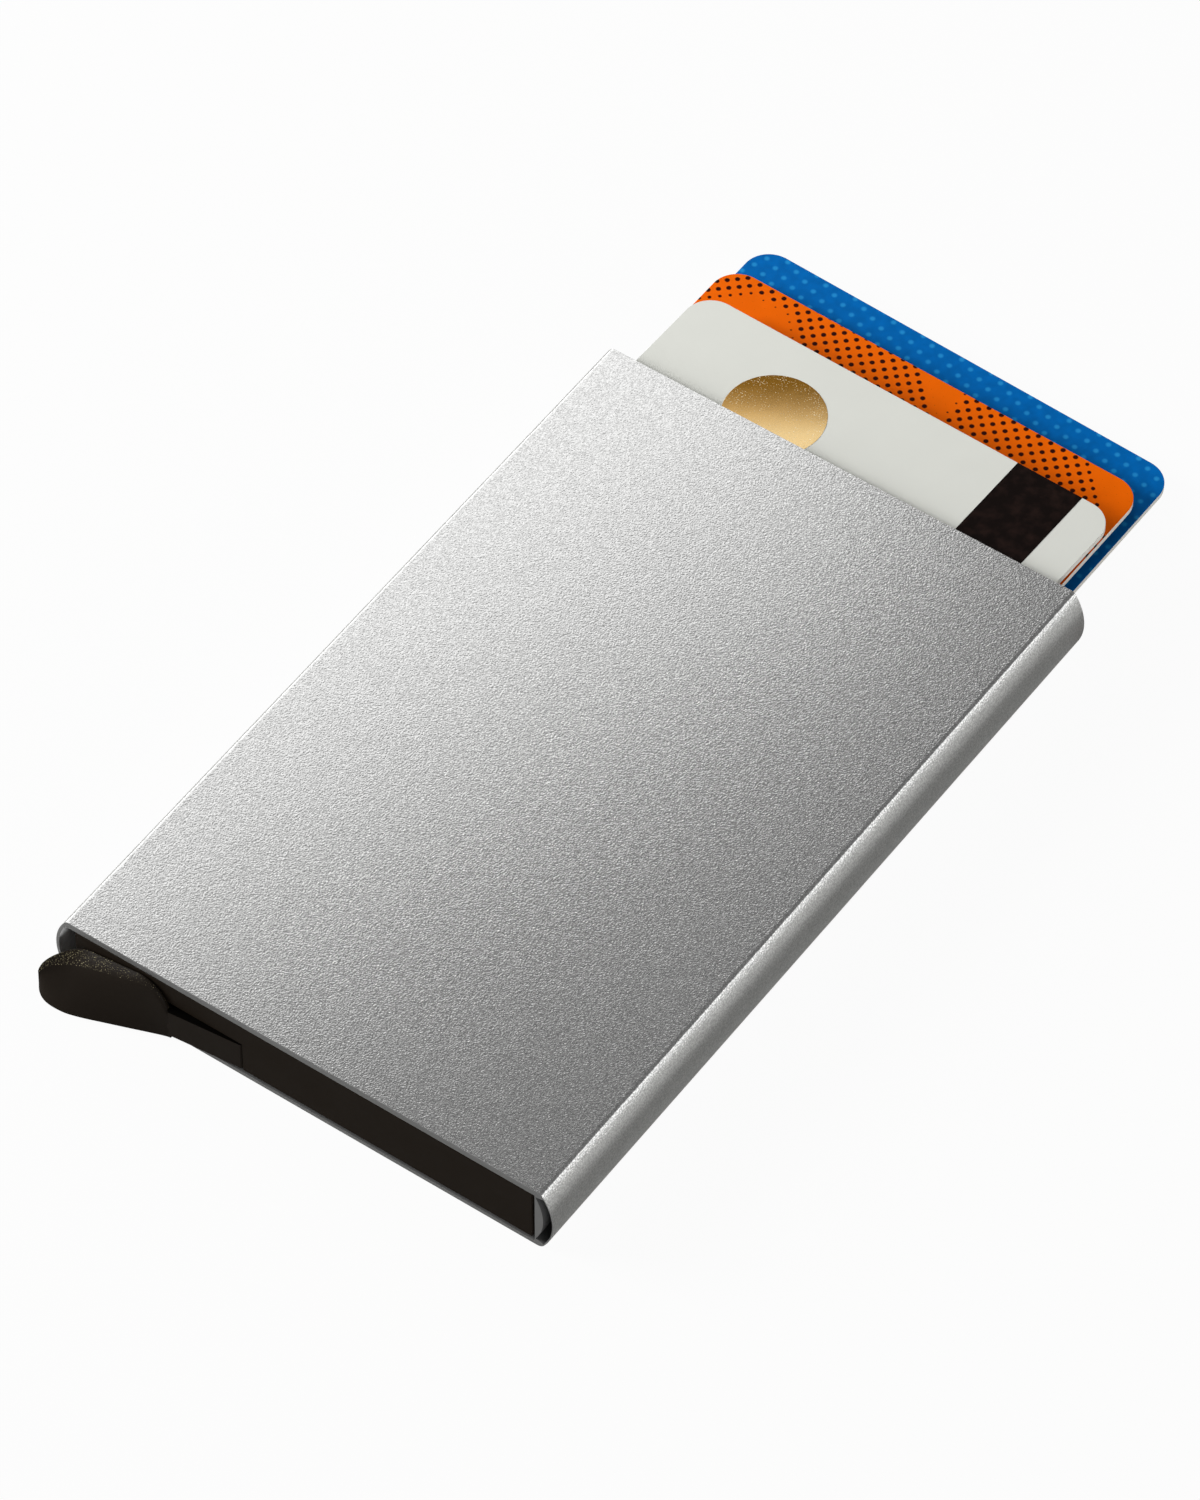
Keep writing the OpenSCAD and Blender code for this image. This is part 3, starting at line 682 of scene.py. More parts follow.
def orange_tint(tree, where):
    """Orange with dark dots, which shrink towards plain triangles."""
    finish = settings().finish
    place = add(tree, "ShaderNodeSeparateXYZ", {0: where})
    found = {"x": place.outputs["X"], "whole": place.outputs["Y"]}
    # the triangles repeat every 12 mm down the card; a value above zero is plain
    table = (
        ("down", "MODULO", "whole", 12.0), ("sum", "ADD", "x", "down"), ("less", "SUBTRACT", "x", "down"),
        ("a1", "ADD", "less", 20.3), ("a2", "SUBTRACT", -20.4, "sum"), ("a3", "SUBTRACT", -2.3, "down"),
        ("a4", "MINIMUM", "a1", "a2"), ("a", "MINIMUM", "a4", "a3"),
        ("b1", "ADD", "sum", 1.2), ("b2", "SUBTRACT", 3.5, "x"), ("b", "MINIMUM", "b1", "b2"),
        ("c", "SUBTRACT", "sum", 20.2), ("ab", "MAXIMUM", "a", "b"), ("plain", "MAXIMUM", "ab", "c"))
    for name, operation, first, second in table:
        found[name] = add(tree, "ShaderNodeMath", {
            0: found.get(first, first), 1: found.get(second, second)}, operation=operation).outputs[0]
    radius = add(tree, "ShaderNodeMapRange", {
        "Value": found["plain"], "From Min": -0.9, "From Max": 0.1, "To Min": 0.29, "To Max": 0.0})
    away = dots(tree, where, pitch=1.14, turn=math.radians(46), shift=(-17.98, -2.15))
    inside = add(tree, "ShaderNodeMath", {0: radius.outputs["Result"], 1: away}, operation="SUBTRACT")
    ink = add(tree, "ShaderNodeMapRange", {
        "Value": inside.outputs[0], "From Min": -0.05, "From Max": 0.05, "To Min": 0.0, "To Max": 1.0})
    base = mottled(tree, where, finish.orange, size=3.0, detail=3.0, span=(0.3, 0.7), ends=(0.96, 1.04))
    return add(tree, "ShaderNodeMix", {
        "Factor": ink.outputs["Result"], 6: base, 7: finish.orange_dot}, data_type="RGBA").outputs[2]


def blue_tint(tree, where):
    """Blue with soft pale dots and a fine print mottle."""
    finish = settings().finish
    away = dots(tree, where, pitch=1.645, turn=math.radians(21), shift=(-23.99, -1.89))
    ink = add(tree, "ShaderNodeMapRange", {
        "Value": away, "From Min": 0.40, "From Max": 0.16, "To Min": 0.0, "To Max": 0.62})
    base = mottled(tree, where, finish.blue, size=1.2, detail=3.0, span=(0.3, 0.7), ends=(0.9, 1.1))
    return add(tree, "ShaderNodeMix", {
        "Factor": ink.outputs["Result"], 6: base, 7: finish.blue_dot}, data_type="RGBA").outputs[2]


def stripe_tape():
    """Magnetic oxide tape laminated on the card."""
    # The oxide is near black and satin, with the faint cloudy rubbing that readers leave.
    made, tree = new_material("magnetic oxide tape")
    place = add(tree, "ShaderNodeTexCoord").outputs["Object"]
    tint = mottled(tree, place, settings().finish.stripe, size=1.2 * MM, detail=5.0, span=(0.45, 0.75),
                   ends=(0.9, 3.2))
    return coat(made, tree, {
        "Base Color": tint, "Roughness": 0.5, "IOR": 1.5, "Specular IOR Level": 0.05})


def hot_foil():
    """Hot-stamped gold foil."""
    # The foil is nearly a mirror. The stamp leaves it slightly dished, so that one half catches the
    # softbox and the other the dark room, and pale flakes stay near its rim, where it didn't take.
    sizes, finish = settings().cards, settings().finish
    made, tree = new_material("hot-stamped gold foil")
    where = add(tree, "ShaderNodeUVMap", uv_map="face").outputs["UV"]
    middle = (-sizes.disc_x / MM, -sizes.disc_y / MM, 0.0)
    place = add(tree, "ShaderNodeVectorMath", {0: where, 1: middle}, operation="SUBTRACT").outputs[0]
    # the dish's height is a share of the squared distance along a slanting line across the disc, from its
    # lowest place, with slow ripples in it
    slant, lowest, curve, ripples = (-0.59, 0.81, 0.0), 3.0, 0.0068, 0.012
    along = add(tree, "ShaderNodeVectorMath", {0: place, 1: slant}, operation="DOT_PRODUCT")
    shifted = add(tree, "ShaderNodeMath", {0: along.outputs["Value"], 1: lowest}, operation="ADD")
    squared = add(tree, "ShaderNodeMath", {0: shifted.outputs[0], 1: 2.0}, operation="POWER")
    waves = add(tree, "ShaderNodeTexNoise", {"Vector": place, "Scale": 1 / 3.5, "Detail": 1.0})
    ripple = add(tree, "ShaderNodeMath", {0: waves.outputs["Fac"], 1: ripples}, operation="MULTIPLY")
    height = add(tree, "ShaderNodeMath", {
        0: squared.outputs[0], 1: curve, 2: ripple.outputs[0]}, operation="MULTIPLY_ADD")
    dish = add(tree, "ShaderNodeBump", {
        "Height": height.outputs[0], "Distance": 1.0 * MM, "Strength": 1.0})
    # besides the dish's real lean, the half that faces the dark room is painted a darker gold, as painted
    # shade
    painted_shade_share = add(tree, "ShaderNodeMapRange", {
        "Value": along.outputs["Value"], "From Min": -2.6, "From Max": 4.5, "To Min": 0.0, "To Max": 1.0})
    gold = add(tree, "ShaderNodeMix", {
        "Factor": painted_shade_share.outputs["Result"], 6: finish.foil, 7: finish.foil_painted_shade}, data_type="RGBA")
    # the flakes lie thickest near the rim, in patches
    away = add(tree, "ShaderNodeVectorMath", {0: place}, operation="LENGTH")
    rim = add(tree, "ShaderNodeMapRange", {
        "Value": away.outputs["Value"], "From Min": 2.6, "From Max": 5.4, "To Min": 0.0, "To Max": 0.09})
    thick = drift(tree, place, size=1.8, detail=1.0, span=(0.4, 0.6), ends=(0.0, 1.0))
    grains = add(tree, "ShaderNodeTexNoise", {"Vector": place, "Scale": 1 / 0.14, "Detail": 0.0})
    share = add(tree, "ShaderNodeMath", {
        0: rim.outputs["Result"], 1: thick, 2: grains.outputs["Fac"]}, operation="MULTIPLY_ADD")
    speck = add(tree, "ShaderNodeMapRange", {
        "Value": share.outputs[0], "From Min": 0.745, "From Max": 0.79, "To Min": 0.0, "To Max": 0.8})
    metal = add(tree, "ShaderNodeMath", {0: 1.0, 1: speck.outputs["Result"]}, operation="SUBTRACT")
    shade = add(tree, "ShaderNodeMix", {
        "Factor": speck.outputs["Result"], 6: gold.outputs[2], 7: finish.foil_speck}, data_type="RGBA")
    return coat(made, tree, {
        "Base Color": shade.outputs[2], "Metallic": metal.outputs[0], "Roughness": 0.2,
        "Normal": dish.outputs["Normal"]})


# The shell

def mirrored(loop):
    """The loop's mirror image across x = 0, still counter-clockwise."""
    return (loop * [-1, 1])[::-1]


def shell_loops():
    """Outlines of the extrusion in x and z: the outside, the slot, the right channel, the milled slot, and
    the end face of the milled rib, and then the rib's first and last corner at its window. Each side is an
    arc of circle through both creases, which are rounded."""
    case = settings().case
    middle = CASE_HEIGHT / 2
    low, high = case.wall, CASE_HEIGHT - case.wall
    side_r = arc_radius(middle, (CASE_WIDTH - case.flat_width) / 2)
    side_x = CASE_WIDTH / 2 - side_r

    def crease(radius):
        """Where a crease's circle has its middle in x, and where it touches the side, as an angle."""
        across = math.sqrt((side_r - radius) ** 2 - (middle - radius) ** 2)
        return side_x + across, math.atan2(middle - radius, across)

    (low_x, low_turn), (high_x, high_turn) = crease(case.lower_crease), crease(case.crease)
    quarter = math.pi / 2
    low_count, side_count, high_count, wall_count = 13, 49, 11, 33
    right = np.concatenate([
        arc((low_x, case.lower_crease), case.lower_crease, -quarter, -low_turn, low_count)[:-1],
        arc((side_x, middle), side_r, -low_turn, high_turn, side_count),
        arc((high_x, CASE_HEIGHT - case.crease), case.crease, high_turn, quarter, high_count)[1:]])
    outside = np.concatenate([right, mirrored(right)])
    half_slot, half_window = case.slot_width / 2, case.window_length / 2
    window_low, window_high = middle - half_window, middle + half_window
    # up the slot's right side and down its left one, each with its window's two heights
    slot = np.array([
        [half_slot, low], [half_slot, window_low], [half_slot, window_high], [half_slot, high],
        [-half_slot, high], [-half_slot, window_high], [-half_slot, window_low], [-half_slot, low]])
    inner_r = side_r - case.side_wall
    half_hollow = high - middle - case.hollow_edge
    outer_turn = math.asin(half_hollow / inner_r)
    rib_r = arc_radius(half_hollow, case.rib - case.rib_root)
    rib_x = half_slot + case.rib - rib_r
    rib_turn, window_turn = math.asin(half_hollow / rib_r), math.asin(half_window / rib_r)
    outer_arc = arc((side_x, middle), inner_r, -outer_turn, outer_turn, wall_count)
    rib_arc = np.concatenate([
        arc((rib_x, middle), rib_r, rib_turn, window_turn, RIB_STEPS + 1)[:-1],
        arc((rib_x, middle), rib_r, window_turn, -window_turn, RIB_STEPS + 1)[:-1],
        arc((rib_x, middle), rib_r, -window_turn, -rib_turn, RIB_STEPS + 1)])
    hollow = np.concatenate([outer_arc, rib_arc])
    corner = side_x + math.sqrt(inner_r ** 2 - (high - middle) ** 2)
    left_arc = mirrored(outer_arc)
    milled = np.concatenate([slot[:5], [[-corner, high]], left_arc, [[-corner, low]], slot[7:]])
    rib_face = np.concatenate([
        slot[4:], [[-corner, low]], left_arc[-1:], mirrored(rib_arc), left_arc[:1], [[-corner, high]]])
    first = len(outer_arc) + RIB_STEPS
    return outside, slot, hollow, milled, rib_face, (first, first + RIB_STEPS)


def aluminium_shell():
    """The shell: its outlines carried along y with rounded edges, closed by flat end faces. The latch
    windows are left out of the slot's and the ribs' walls, and joined by four small walls each."""
    case = settings().case
    outside, slot, hollow, milled, rib_face, window = shell_loops()
    left_hollow = mirrored(hollow)
    made = Surface()
    step = LEVER_END + case.rib_cut
    start = LEVER_END + case.window_start
    end = start + case.window_length

    def wall(loop, levels, growth, material, skipped=(), share=1.0):
        """Carries a loop, less the cells between the window's two levels at the skipped columns."""
        rings = carried(loop, levels, growth, share)
        leave = np.zeros((len(levels) - 1, len(loop)), bool)
        if len(skipped):
            row = int(np.argmin(np.abs(np.asarray(levels) - start)))
            leave[row, list(skipped)] = True
        made.add(rings, quads(len(levels), len(loop), leave), material)
        return rings

    outer = carried(outside, *eased(LEVER_END, MOUTH, case.edge, -1))
    # the lever end's rounded rim takes the cut ends' finish, with its painted shade
    sawn_rim = np.zeros((len(outer) - 1, len(outside)), bool)
    sawn_rim[:2] = True
    made.halves(outer, sawn_rim, SKIN, CUT)
    # the right channel's outer wall tapers to a thin edge at the lever end, and its rib hardly does
    count = len(hollow)
    levels, growth = eased(
        LEVER_END + case.taper_length, MOUTH, case.inner_edge, 1, (start, end), at_start=False)
    levels, growth = np.insert(levels, 0, LEVER_END), np.insert(growth, 0, case.taper)
    on_wall, in_rib = np.arange(count)[:, None] < window[0] - RIB_STEPS, 0.12
    right = wall(hollow, levels, growth, INSIDE_SHADE, range(*window), np.where(on_wall, 1.0, in_rib))
    mirrored_window = range(count - 1 - window[1], count - 1 - window[0])
    levels, growth = eased(step, MOUTH, case.inner_edge, 1, (start, end), at_start=False)
    left = wall(left_hollow, levels, growth, INSIDE_SHADE, mirrored_window)
    side_windows = (1, 5)
    back = wall(slot, levels, growth, INSIDE_SHADE, side_windows)
    # the rebate is deepest in the slot's floor, and slight in its sides, its roof and the left channel
    in_sides, in_roof, in_channel = 0.45, 0.3, 0.08
    share = np.where(milled[:, 1:] < CASE_HEIGHT / 2, [in_sides, 1.0], [in_sides, in_roof])
    share[5:-1] = in_channel
    inner = LEVER_END + case.rebate_length
    levels = [LEVER_END, inner, inner + case.inner_edge, step]
    front = carried(milled, levels, case.rebate * np.array([1, 1, 0, 0]), share)
    # the milled pocket is painted pale, as painted light, and its floor dark, as painted shade
    floor = np.zeros((len(levels) - 1, len(milled)), bool)
    floor[:, -1] = True
    made.halves(front, floor, INSIDE_LIGHT, INSIDE_SHADE)
    made.flat([outer[0], front[0], right[0]], CUT)
    made.flat([outer[-1], back[-1], right[-1], left[-1]], CUT)
    made.flat([np.insert(rib_face, 1, step, axis=1)], CUT)
    # the four walls of each window, between the slot's flat side and the rib's back
    rib = hollow[window[0]:window[1] + 1]
    flat_side = slot[[2, 1]]
    for mirror in (1, -1):
        for level in (start, end):
            outline = np.concatenate([flat_side, rib[::-1]]) * [mirror, 1]
            made.flat([np.insert(outline, 1, level, axis=1)], INSIDE_SHADE)
        for near, far in ((flat_side[0], rib[0]), (flat_side[1], rib[-1])):
            corners = [(near[0], start, near[1]), (near[0], end, near[1]),
                       (far[0], end, far[1]), (far[0], start, far[1])]
            made.add(np.array(corners) * [mirror, 1, 1], [[0, 1, 2, 3]], INSIDE_SHADE)
    finish = settings().finish
    # the inside is one anodised metal in two tints: a dark one as painted shade, a pale one as painted
    # light
    return made.piece("aluminium_shell", [
        blasted_aluminium(), sawn_aluminium(),
        inner_aluminium("extruded anodised aluminium", finish.inside_painted_shade, 0.3),
        inner_aluminium("milled anodised aluminium", finish.inside_painted_light, 0.0)], sharp=40.0)


# The lever and the springs

def thumb_pad(made, inner_end, back):
    """Adds the lever's pad to a surface, as sections square to x, from the x of its inner end and the y of
    its back. Stations along the pad give the places of the section's corners: the top's back edge, the
    brow between the grained top and the smooth front, the lower front edge, and the back's lower edge.
    They are joined by a smooth curve, and then every section's corners are rounded."""
    lever = settings().lever
    # x; back edge y, z; brow y, z; lower edge y; lowest z; in millimetres from the pad's inner end, its
    # back and the shell's top
    stations = np.array([
        [0.00, 0.00, -4.55, -0.56, -4.62, -0.62, -8.60],
        [-0.30, 0.00, -3.95, -0.57, -4.05, -0.68, -8.60],
        [-0.65, 0.00, -3.15, -0.59, -3.28, -0.79, -8.60],
        [-1.15, 0.00, -2.38, -0.60, -2.55, -0.96, -8.60],
        [-1.80, 0.00, -1.74, -0.62, -2.00, -1.20, -8.60],
        [-2.65, 0.00, -1.30, -0.67, -1.74, -1.52, -8.60],
        [-3.70, 0.00, -1.14, -0.78, -1.82, -1.92, -8.60],
        [-5.00, 0.00, -1.33, -0.93, -2.15, -2.41, -8.60],
        [-6.80, 0.00, -1.62, -1.10, -2.60, -3.08, -8.60],
        [-8.80, 0.00, -1.94, -1.28, -3.08, -3.82, -8.60],
        [-10.40, -0.02, -2.20, -1.48, -3.52, -4.30, -8.60],
        [-11.50, -0.32, -2.42, -1.68, -3.84, -4.44, -8.60],
        [-12.40, -0.95, -2.68, -1.95, -4.12, -4.45, -8.60],
        [-13.20, -1.68, -3.04, -2.26, -4.40, -4.34, -8.59],
        [-13.85, -2.30, -3.55, -2.60, -4.75, -4.10, -8.55],
        [-14.35, -2.78, -4.22, -2.92, -5.20, -3.76, -8.46],
        [-14.64, -3.06, -4.95, -3.12, -5.75, -3.44, -8.30],
        [-14.74, -3.20, -5.45, -3.21, -6.05, -3.26, -8.10]])
    rows = through(stations, steps=6)
    x, back_y, back_z, brow_y, brow_z, low_y, low_z = rows.T
    # the thumb's hollow is deepest in the middle of the front and fades towards both ends
    hollow_start, hollow_length = 1.3, 12.5
    share = np.sin(math.pi * np.clip((-x - hollow_start) / hollow_length, 0, 1))
    front_y, front_z = (brow_y + low_y) / 2 + lever.hollow / MM * share, (brow_z + low_z) / 2
    outline = ((back_y, low_z), (low_y, low_z), (front_y, front_z), (brow_y, brow_z), (back_y, back_z))
    corners = np.stack([np.stack([x, y, z], axis=1) for y, z in outline], axis=1)
    corners = corners * MM + [inner_end, back, CASE_HEIGHT]
    back_edge, front_bend, top_edge = 0.2 * MM, 2.4 * MM, 0.3 * MM
    radii = (back_edge, lever.lower_edge, front_bend, lever.brow, top_edge)
    count = 7
    rings = soft_corners(corners, radii, count)
    # the top runs from the middle of the brow's rounding to the middle of the back edge's
    top = np.zeros((len(rings) - 1, rings.shape[1]), bool)
    top[:, 3 * count + count // 2:4 * count + count // 2] = True
    made.halves(rings, top, SMOOTH, GRAINED)
    made.close(rings, SMOOTH)


def thumb_lever():
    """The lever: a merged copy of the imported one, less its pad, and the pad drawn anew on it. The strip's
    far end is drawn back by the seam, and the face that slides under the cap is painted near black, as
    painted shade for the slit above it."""
    lever, finish = settings().lever, settings().finish
    notch = (-lever.pad_start, LEVER_END - lever.pad_back, lever.strip_top)
    points, faces = merged_copy("lever", notch)
    strip_end = (np.abs(points[:, 1] - LEVER_END) < CLOSE) & (points[:, 0] > -lever.pivot_x)
    points[strip_end, 0] -= lever.seam
    # the strip's top faces under the cap carry the slit's painted shade
    painted_slit_shade = [face for face in faces if np.abs(points[face, 2] - lever.strip_top).max() < CLOSE]
    made = Surface()
    made.add(points, [face for face in faces if face not in painted_slit_shade], SMOOTH)
    made.add(points, painted_slit_shade, SLIT_SHADE)
    thumb_pad(made, *notch[:2])
    smooth = moulded_nylon("moulded black nylon of the lever", finish.nylon, grain=0.2 * MM,
                           depth=0.005 * MM, roughness=0.5, gloss=0.045)
    # painted shade: a near-black nylon for the slit, a little smoother where the strip slides
    slit_shade_nylon = moulded_nylon("rubbed black nylon", finish.painted_slit_shade, grain=0.2 * MM,
                            depth=0.002 * MM, roughness=0.35, gloss=0.02)
    piece = made.piece("thumb_lever", [smooth, grained_nylon(), slit_shade_nylon], sharp=38.0)
    return round_edges(piece, width=0.1 * MM)


def return_spring(steel):
    """The torsion spring: a leg, then a coil that rises by its pitch over each turn as it runs backwards,
    drawn as a round tube along that path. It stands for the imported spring."""
    lever = settings().lever
    steps_a_turn = 40
    share = np.linspace(0, 1, int(steps_a_turn * lever.turns) + 1)
    turn = -2 * math.pi * lever.turns * share
    coil = np.column_stack([lever.coil * np.cos(turn), lever.coil * np.sin(turn),
                            lever.pitch * lever.turns * share])
    reach = np.linspace(lever.coil + lever.leg, lever.coil, 7)[:-1]
    path = np.concatenate([np.column_stack([reach, 0 * reach, 0 * reach]), coil])
    pivot = np.array([-lever.pivot_x, LEVER_END + lever.pivot_y, lever.coil_low])
    wire = tube(path + pivot, lever.wire, sides=14)
    piece = wire.piece("return_spring_wire", [steel], sharp=40.0)
    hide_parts("return_spring")
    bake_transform(piece)


# The cards

def card_outline(sizes, inset=0.0):
    """A rounded rectangle: four quarter arcs of the corner radius, its outer edge at y = 0."""
    half, radius = sizes.width / 2, sizes.corner
    corners = ((half - radius, -sizes.length + radius, -90), (half - radius, -radius, 0),
               (-half + radius, -radius, 90), (-half + radius, -sizes.length + radius, 180))
    return np.concatenate([
        arc((x, y), radius - inset, math.radians(turn), math.radians(turn + 90), count=17)
        for x, y, turn in corners])


def slab(outline_at, low, high, edge, face, rim):
    """A flat piece with quarter-round edges: outlines inset by edge times one minus cosine, stacked
    between two heights. outline_at(inset) gives the outline; face and rim number the materials."""
    turn = np.radians([0, 30, 60, 90])
    inset, rise = edge * (1 - np.cos(turn)), edge * np.sin(turn)
    levels = np.concatenate([low + edge - rise[::-1], high - edge + rise])
    insets = np.concatenate([inset[::-1], inset])
    rings = np.array([np.insert(outline_at(i), 2, z, axis=1) for i, z in zip(insets, levels)])
    made = Surface()
    # the upper rounding belongs to the printed face
    top = np.zeros((len(levels) - 1, rings.shape[1]), bool)
    top[len(inset):] = True
    made.halves(rings, top, rim, face)
    made.close(rings, face)
    return made


def lay_card(piece, place, turn):
    """Writes the face's UV map in millimetres, then moves the mesh from the card's own place to its place
    in the case: tilted about y, turned about z, and moved."""
    mesh = piece.data
    corner = np.zeros(len(mesh.loops), np.int32)
    mesh.loops.foreach_get("vertex_index", corner)
    face = mesh.uv_layers.new(name="face")
    face.data.foreach_set("uv", (vertex_places(mesh)[corner][:, :2] / MM).ravel())
    origin = (place[0], MOUTH + place[1], CASE_HEIGHT - place[2])
    turned = Matrix.Rotation(turn[1], 4, "Z") @ Matrix.Rotation(turn[0], 4, "Y")
    mesh.transform(Matrix.Translation(origin) @ turned)
    return piece


class HOLDER_OT_shell(bpy.types.Operator):
    """Builds the extruded aluminium shell"""

    bl_idname = "holder.shell"
    bl_label = "Aluminium shell"

    def execute(self, context):
        stand_for(aluminium_shell(), "shell")
        return {"FINISHED"}


class HOLDER_OT_mouldings(bpy.types.Operator):
    """Builds the moulded end cap and the thumb lever"""

    bl_idname = "holder.mouldings"
    bl_label = "End cap and lever"

    def execute(self, context):
        tint = settings().finish.nylon
        nylon = moulded_nylon("moulded black nylon", tint, grain=0.16 * MM, depth=0.006 * MM,
                              roughness=0.5, gloss=0.025)
        stand_for(dressed_copy("end_cap", "nylon_end_cap", nylon, bevel=0.1 * MM), "end_cap")
        stand_for(thumb_lever(), "lever")
        return {"FINISHED"}


class HOLDER_OT_steel(bpy.types.Operator):
    """Builds the pivot pin and the two springs"""

    bl_idname = "holder.steel"
    bl_label = "Pin and springs"

    def execute(self, context):
        steel = drawn_steel()
        stand_for(dressed_copy("pivot_pin", "ground_pin", steel, bevel=0.2 * MM), "pivot_pin")
        stand_for(dressed_copy("card_spring", "leaf_spring", steel, bevel=0.04 * MM), "card_spring")
        return_spring(steel)
        return {"FINISHED"}


class HOLDER_OT_cards(bpy.types.Operator):
    """Builds the three cards with their printed faces"""

    bl_idname = "holder.cards"
    bl_label = "Cards"

    def execute(self, context):
        sizes = settings().cards
        core = card_core()
        cards = (
            ("white_card", "card_white", white_tint, sizes.white_place, sizes.white_turn),
            ("orange_card", "card_orange", orange_tint, sizes.orange_place, sizes.orange_turn),
            ("blue_card", "card_blue", blue_tint, sizes.blue_place, sizes.blue_turn))
        for name, node, tint, place, turn in cards:
            face = printed_face(name.replace("_", " ") + " print", tint)
            body = slab(lambda inset: card_outline(sizes, inset), -sizes.thickness, 0.0, sizes.edge,
                        face=0, rim=1)
            piece = lay_card(body.piece(name, [face, core]), place, turn)
            stand_for(piece, node)
        return {"FINISHED"}


class HOLDER_OT_inlays(bpy.types.Operator):
    """Builds the magnetic stripe and the foil disc on the white card"""

    bl_idname = "holder.inlays"
    bl_label = "Stripe and foil disc"

    def execute(self, context):
        sizes = settings().cards
        right = sizes.width / 2 - sizes.stripe_side
        left = right - sizes.stripe_width

        def tape(inset):
            return np.array([[right - inset, -sizes.length + inset], [right - inset, -inset],
                             [left + inset, -inset], [left + inset, -sizes.length + inset]])

        def disc(inset):
            middle = (-sizes.disc_x, -sizes.disc_y)
            return arc(middle, sizes.disc_radius - inset, 0, 2 * math.pi, count=97)[:-1]

        # a film's two rounded edges take up most of its thickness
        film, edge = sizes.film, 0.45 * sizes.film
        for name, node, outline, material in (
                ("stripe_tape", "magnetic_stripe", tape, stripe_tape()),
                ("gold_disc", "foil_disc", disc, hot_foil())):
            body = slab(outline, 0.0, film, edge, face=0, rim=0)
            piece = lay_card(body.piece(name, [material]), sizes.white_place, sizes.white_turn)
            stand_for(piece, node)
        return {"FINISHED"}


def camera_axes(stage):
    """The camera's right, up and back directions from its azimuth, elevation and roll."""
    a, e, roll = stage.azimuth, stage.elevation, stage.roll
    back = Vector((math.sin(a) * math.cos(e), -math.cos(a) * math.cos(e), math.sin(e)))
    right = Vector((math.cos(a), math.sin(a), 0.0))
    up = back.cross(right)
    turned_right = right * math.cos(roll) + up * math.sin(roll)
    turned_up = up * math.cos(roll) - right * math.sin(roll)
    return turned_right, turned_up, back


def place_camera(stage):
    """Adds the camera at the photograph's viewing angle."""
    right, up, back = camera_axes(stage)
    target = Vector(stage.target)
    data = bpy.data.cameras.new("camera")
    data.lens = stage.lens
    data.sensor_width = 36.0
    data.clip_start, data.clip_end = 0.01, 20.0
    made = new_object("camera", data)
    made.matrix_world = Matrix((right, up, back)).transposed().to_4x4()
    made.location = target + right * stage.pan[0] - up * stage.pan[1] + back * stage.distance
    bpy.context.scene.camera = made


def place_light(name, towards, distance, size, radiance, target):
    """Adds an oblong area light that stands towards a direction from the target and faces it. Its power is
    radiance times pi times area."""
    data = bpy.data.lights.new(name, "AREA")
    data.shape = "RECTANGLE"
    data.size, data.size_y = size
    data.energy = radiance * math.pi * size[0] * size[1]
    made = new_object(name, data)
    made.location = target + Vector(towards).normalized() * distance
    made.rotation_euler = (made.location - target).to_track_quat("Z", "Y").to_euler()
    made.visible_camera = False


def paper_floor(stage):
    """Adds the white paper floor, which shows plain white in part and keeps the object's shadow."""
    made, tree = new_material("white seamless paper")
    path = add(tree, "ShaderNodeLightPath").outputs
    mirror = add(tree, "ShaderNodeMath", {
        0: path["Is Glossy Ray"], 1: path["Is Transmission Ray"]}, operation="ADD", use_clamp=True)
    seen = add(tree, "ShaderNodeMath", {0: mirror.outputs[0], 1: stage.floor_mirror}, operation="MULTIPLY")
    share = add(tree, "ShaderNodeMath", {
        0: path["Is Camera Ray"], 1: stage.floor_glow, 2: seen.outputs[0]}, operation="MULTIPLY_ADD")
    paper = add(tree, "ShaderNodeBsdfDiffuse", {"Color": to_linear("BCBCBA")})
    white = add(tree, "ShaderNodeEmission", {"Color": to_linear("FFFFFF"), "Strength": 1.0})
    both = add(tree, "ShaderNodeMixShader", {
        0: share.outputs[0], 1: paper.outputs[0], 2: white.outputs[0]})
    close_material(tree, both.outputs[0])
    mesh = bpy.data.meshes.new("paper_floor")
    reach, drop = 4.0, 0.02 * MM
    corners = [(x * reach, y * reach, -drop) for x, y in ((-1, -1), (1, -1), (1, 1), (-1, 1))]
    mesh.from_pydata(corners, [], [(0, 1, 2, 3)])
    mesh.materials.append(made)
    new_object("paper_floor", mesh)


def grey_room(stage):
    """Fills the world: pale walls near the horizon under a plain grey room."""
    world = bpy.data.worlds.new("studio room")
    bpy.context.scene.world = world
    world.use_nodes = True
    tree = world.node_tree
    tree.nodes.clear()
    # a direction's height, as the sine of its angle above the horizon
    walls_end, room_start = 0.12, 0.35
    height = add(tree, "ShaderNodeSeparateXYZ", {0: add(tree, "ShaderNodeTexCoord").outputs["Generated"]})
    level = add(tree, "ShaderNodeMapRange", {
        "Value": height.outputs["Z"], "From Min": walls_end, "From Max": room_start,
        "To Min": stage.horizon, "To Max": stage.room}, interpolation_type="SMOOTHSTEP")
    glow = add(tree, "ShaderNodeBackground", {"Color": level.outputs["Result"], "Strength": 1.0})
    add(tree, "ShaderNodeOutputWorld", {"Surface": glow.outputs[0]})


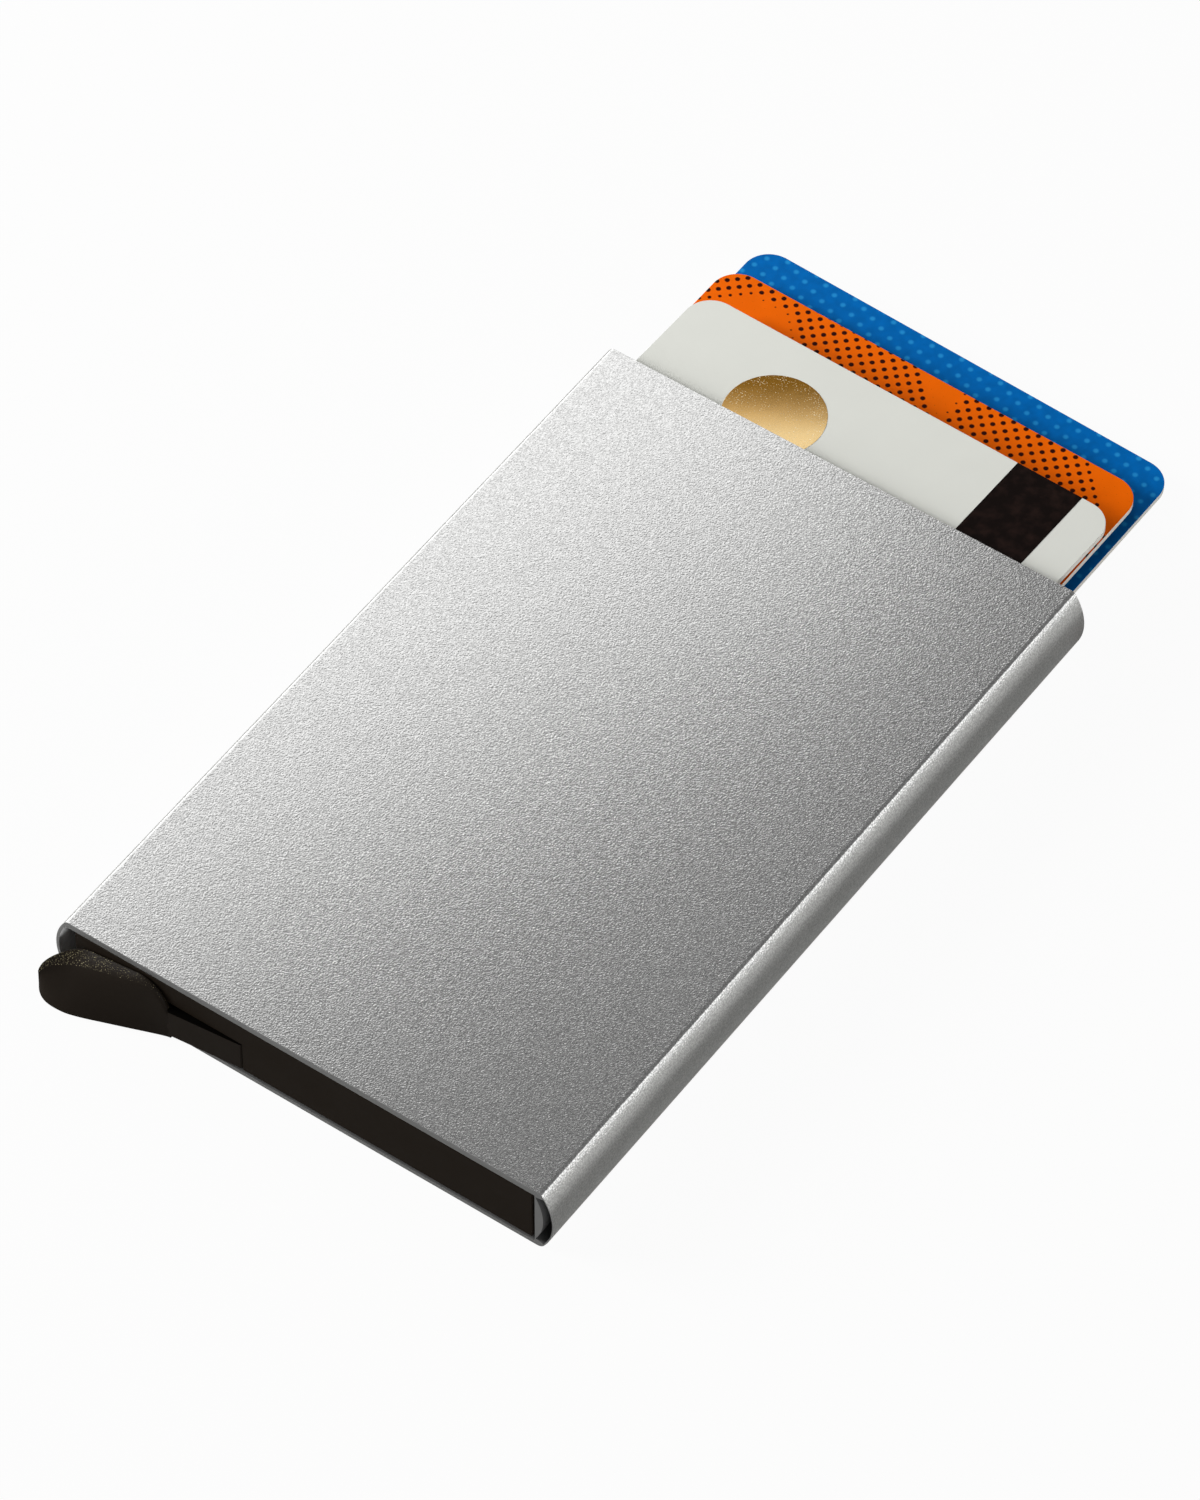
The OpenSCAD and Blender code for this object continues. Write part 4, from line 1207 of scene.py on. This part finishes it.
class HOLDER_OT_stage(bpy.types.Operator):
    """Builds the floor, the soft lights and the camera"""

    bl_idname = "holder.stage"
    bl_label = "Stage"

    def execute(self, context):
        stage = settings().stage
        place_camera(stage)
        paper_floor(stage)
        grey_room(stage)
        target = Vector(stage.target)
        # each light's name, direction from the target, distance, width and height, and radiance
        lights = (
            ("softbox", (-209, 67.2, 117.8), 0.2491, (0.404, 0.26), stage.softbox),
            ("key light", (-0.85, -0.35, 0.39), 1.2, (0.5, 0.5), stage.key),
            ("fill light", (0.80, -0.50, 0.22), 1.2, (0.5, 0.35), stage.fill))
        for light in lights:
            place_light(*light, target)
        context.scene.view_settings.view_transform = "Standard"
        return {"FINISHED"}


class HOLDER_PT_panel(bpy.types.Panel):
    """Lists the card holder's pieces and its settings"""

    bl_label = "Card holder"
    bl_idname = "HOLDER_PT_panel"
    bl_space_type = "VIEW_3D"
    bl_region_type = "UI"
    bl_category = "Card holder"

    def draw(self, context):
        for operator in OPERATORS:
            self.layout.operator(operator.bl_idname)
        holder = settings()
        for group in (holder.case, holder.lever, holder.cards, holder.finish, holder.stage):
            box = self.layout.box()
            for key in group.__annotations__:
                box.prop(group, key)


OPERATORS = (HOLDER_OT_shell, HOLDER_OT_mouldings, HOLDER_OT_steel, HOLDER_OT_cards, HOLDER_OT_inlays,
             HOLDER_OT_stage)
CLASSES = (CaseSizes, LeverSizes, CardSizes, Finishes, StageSettings, HolderSettings, *OPERATORS,
           HOLDER_PT_panel)


def register():
    """Registers the classes and adds the settings to the scene."""
    for cls in CLASSES:
        bpy.utils.register_class(cls)
    bpy.types.Scene.card_holder = bpy.props.PointerProperty(type=HolderSettings)


def unregister():
    """Removes the settings and the classes."""
    del bpy.types.Scene.card_holder
    for cls in reversed(CLASSES):
        bpy.utils.unregister_class(cls)


def main():
    """Builds every piece and the stage in order."""
    register()
    bpy.ops.holder.shell()
    bpy.ops.holder.mouldings()
    bpy.ops.holder.steel()
    bpy.ops.holder.cards()
    bpy.ops.holder.inlays()
    bpy.ops.holder.stage()


if __name__ == "__main__":
    main()
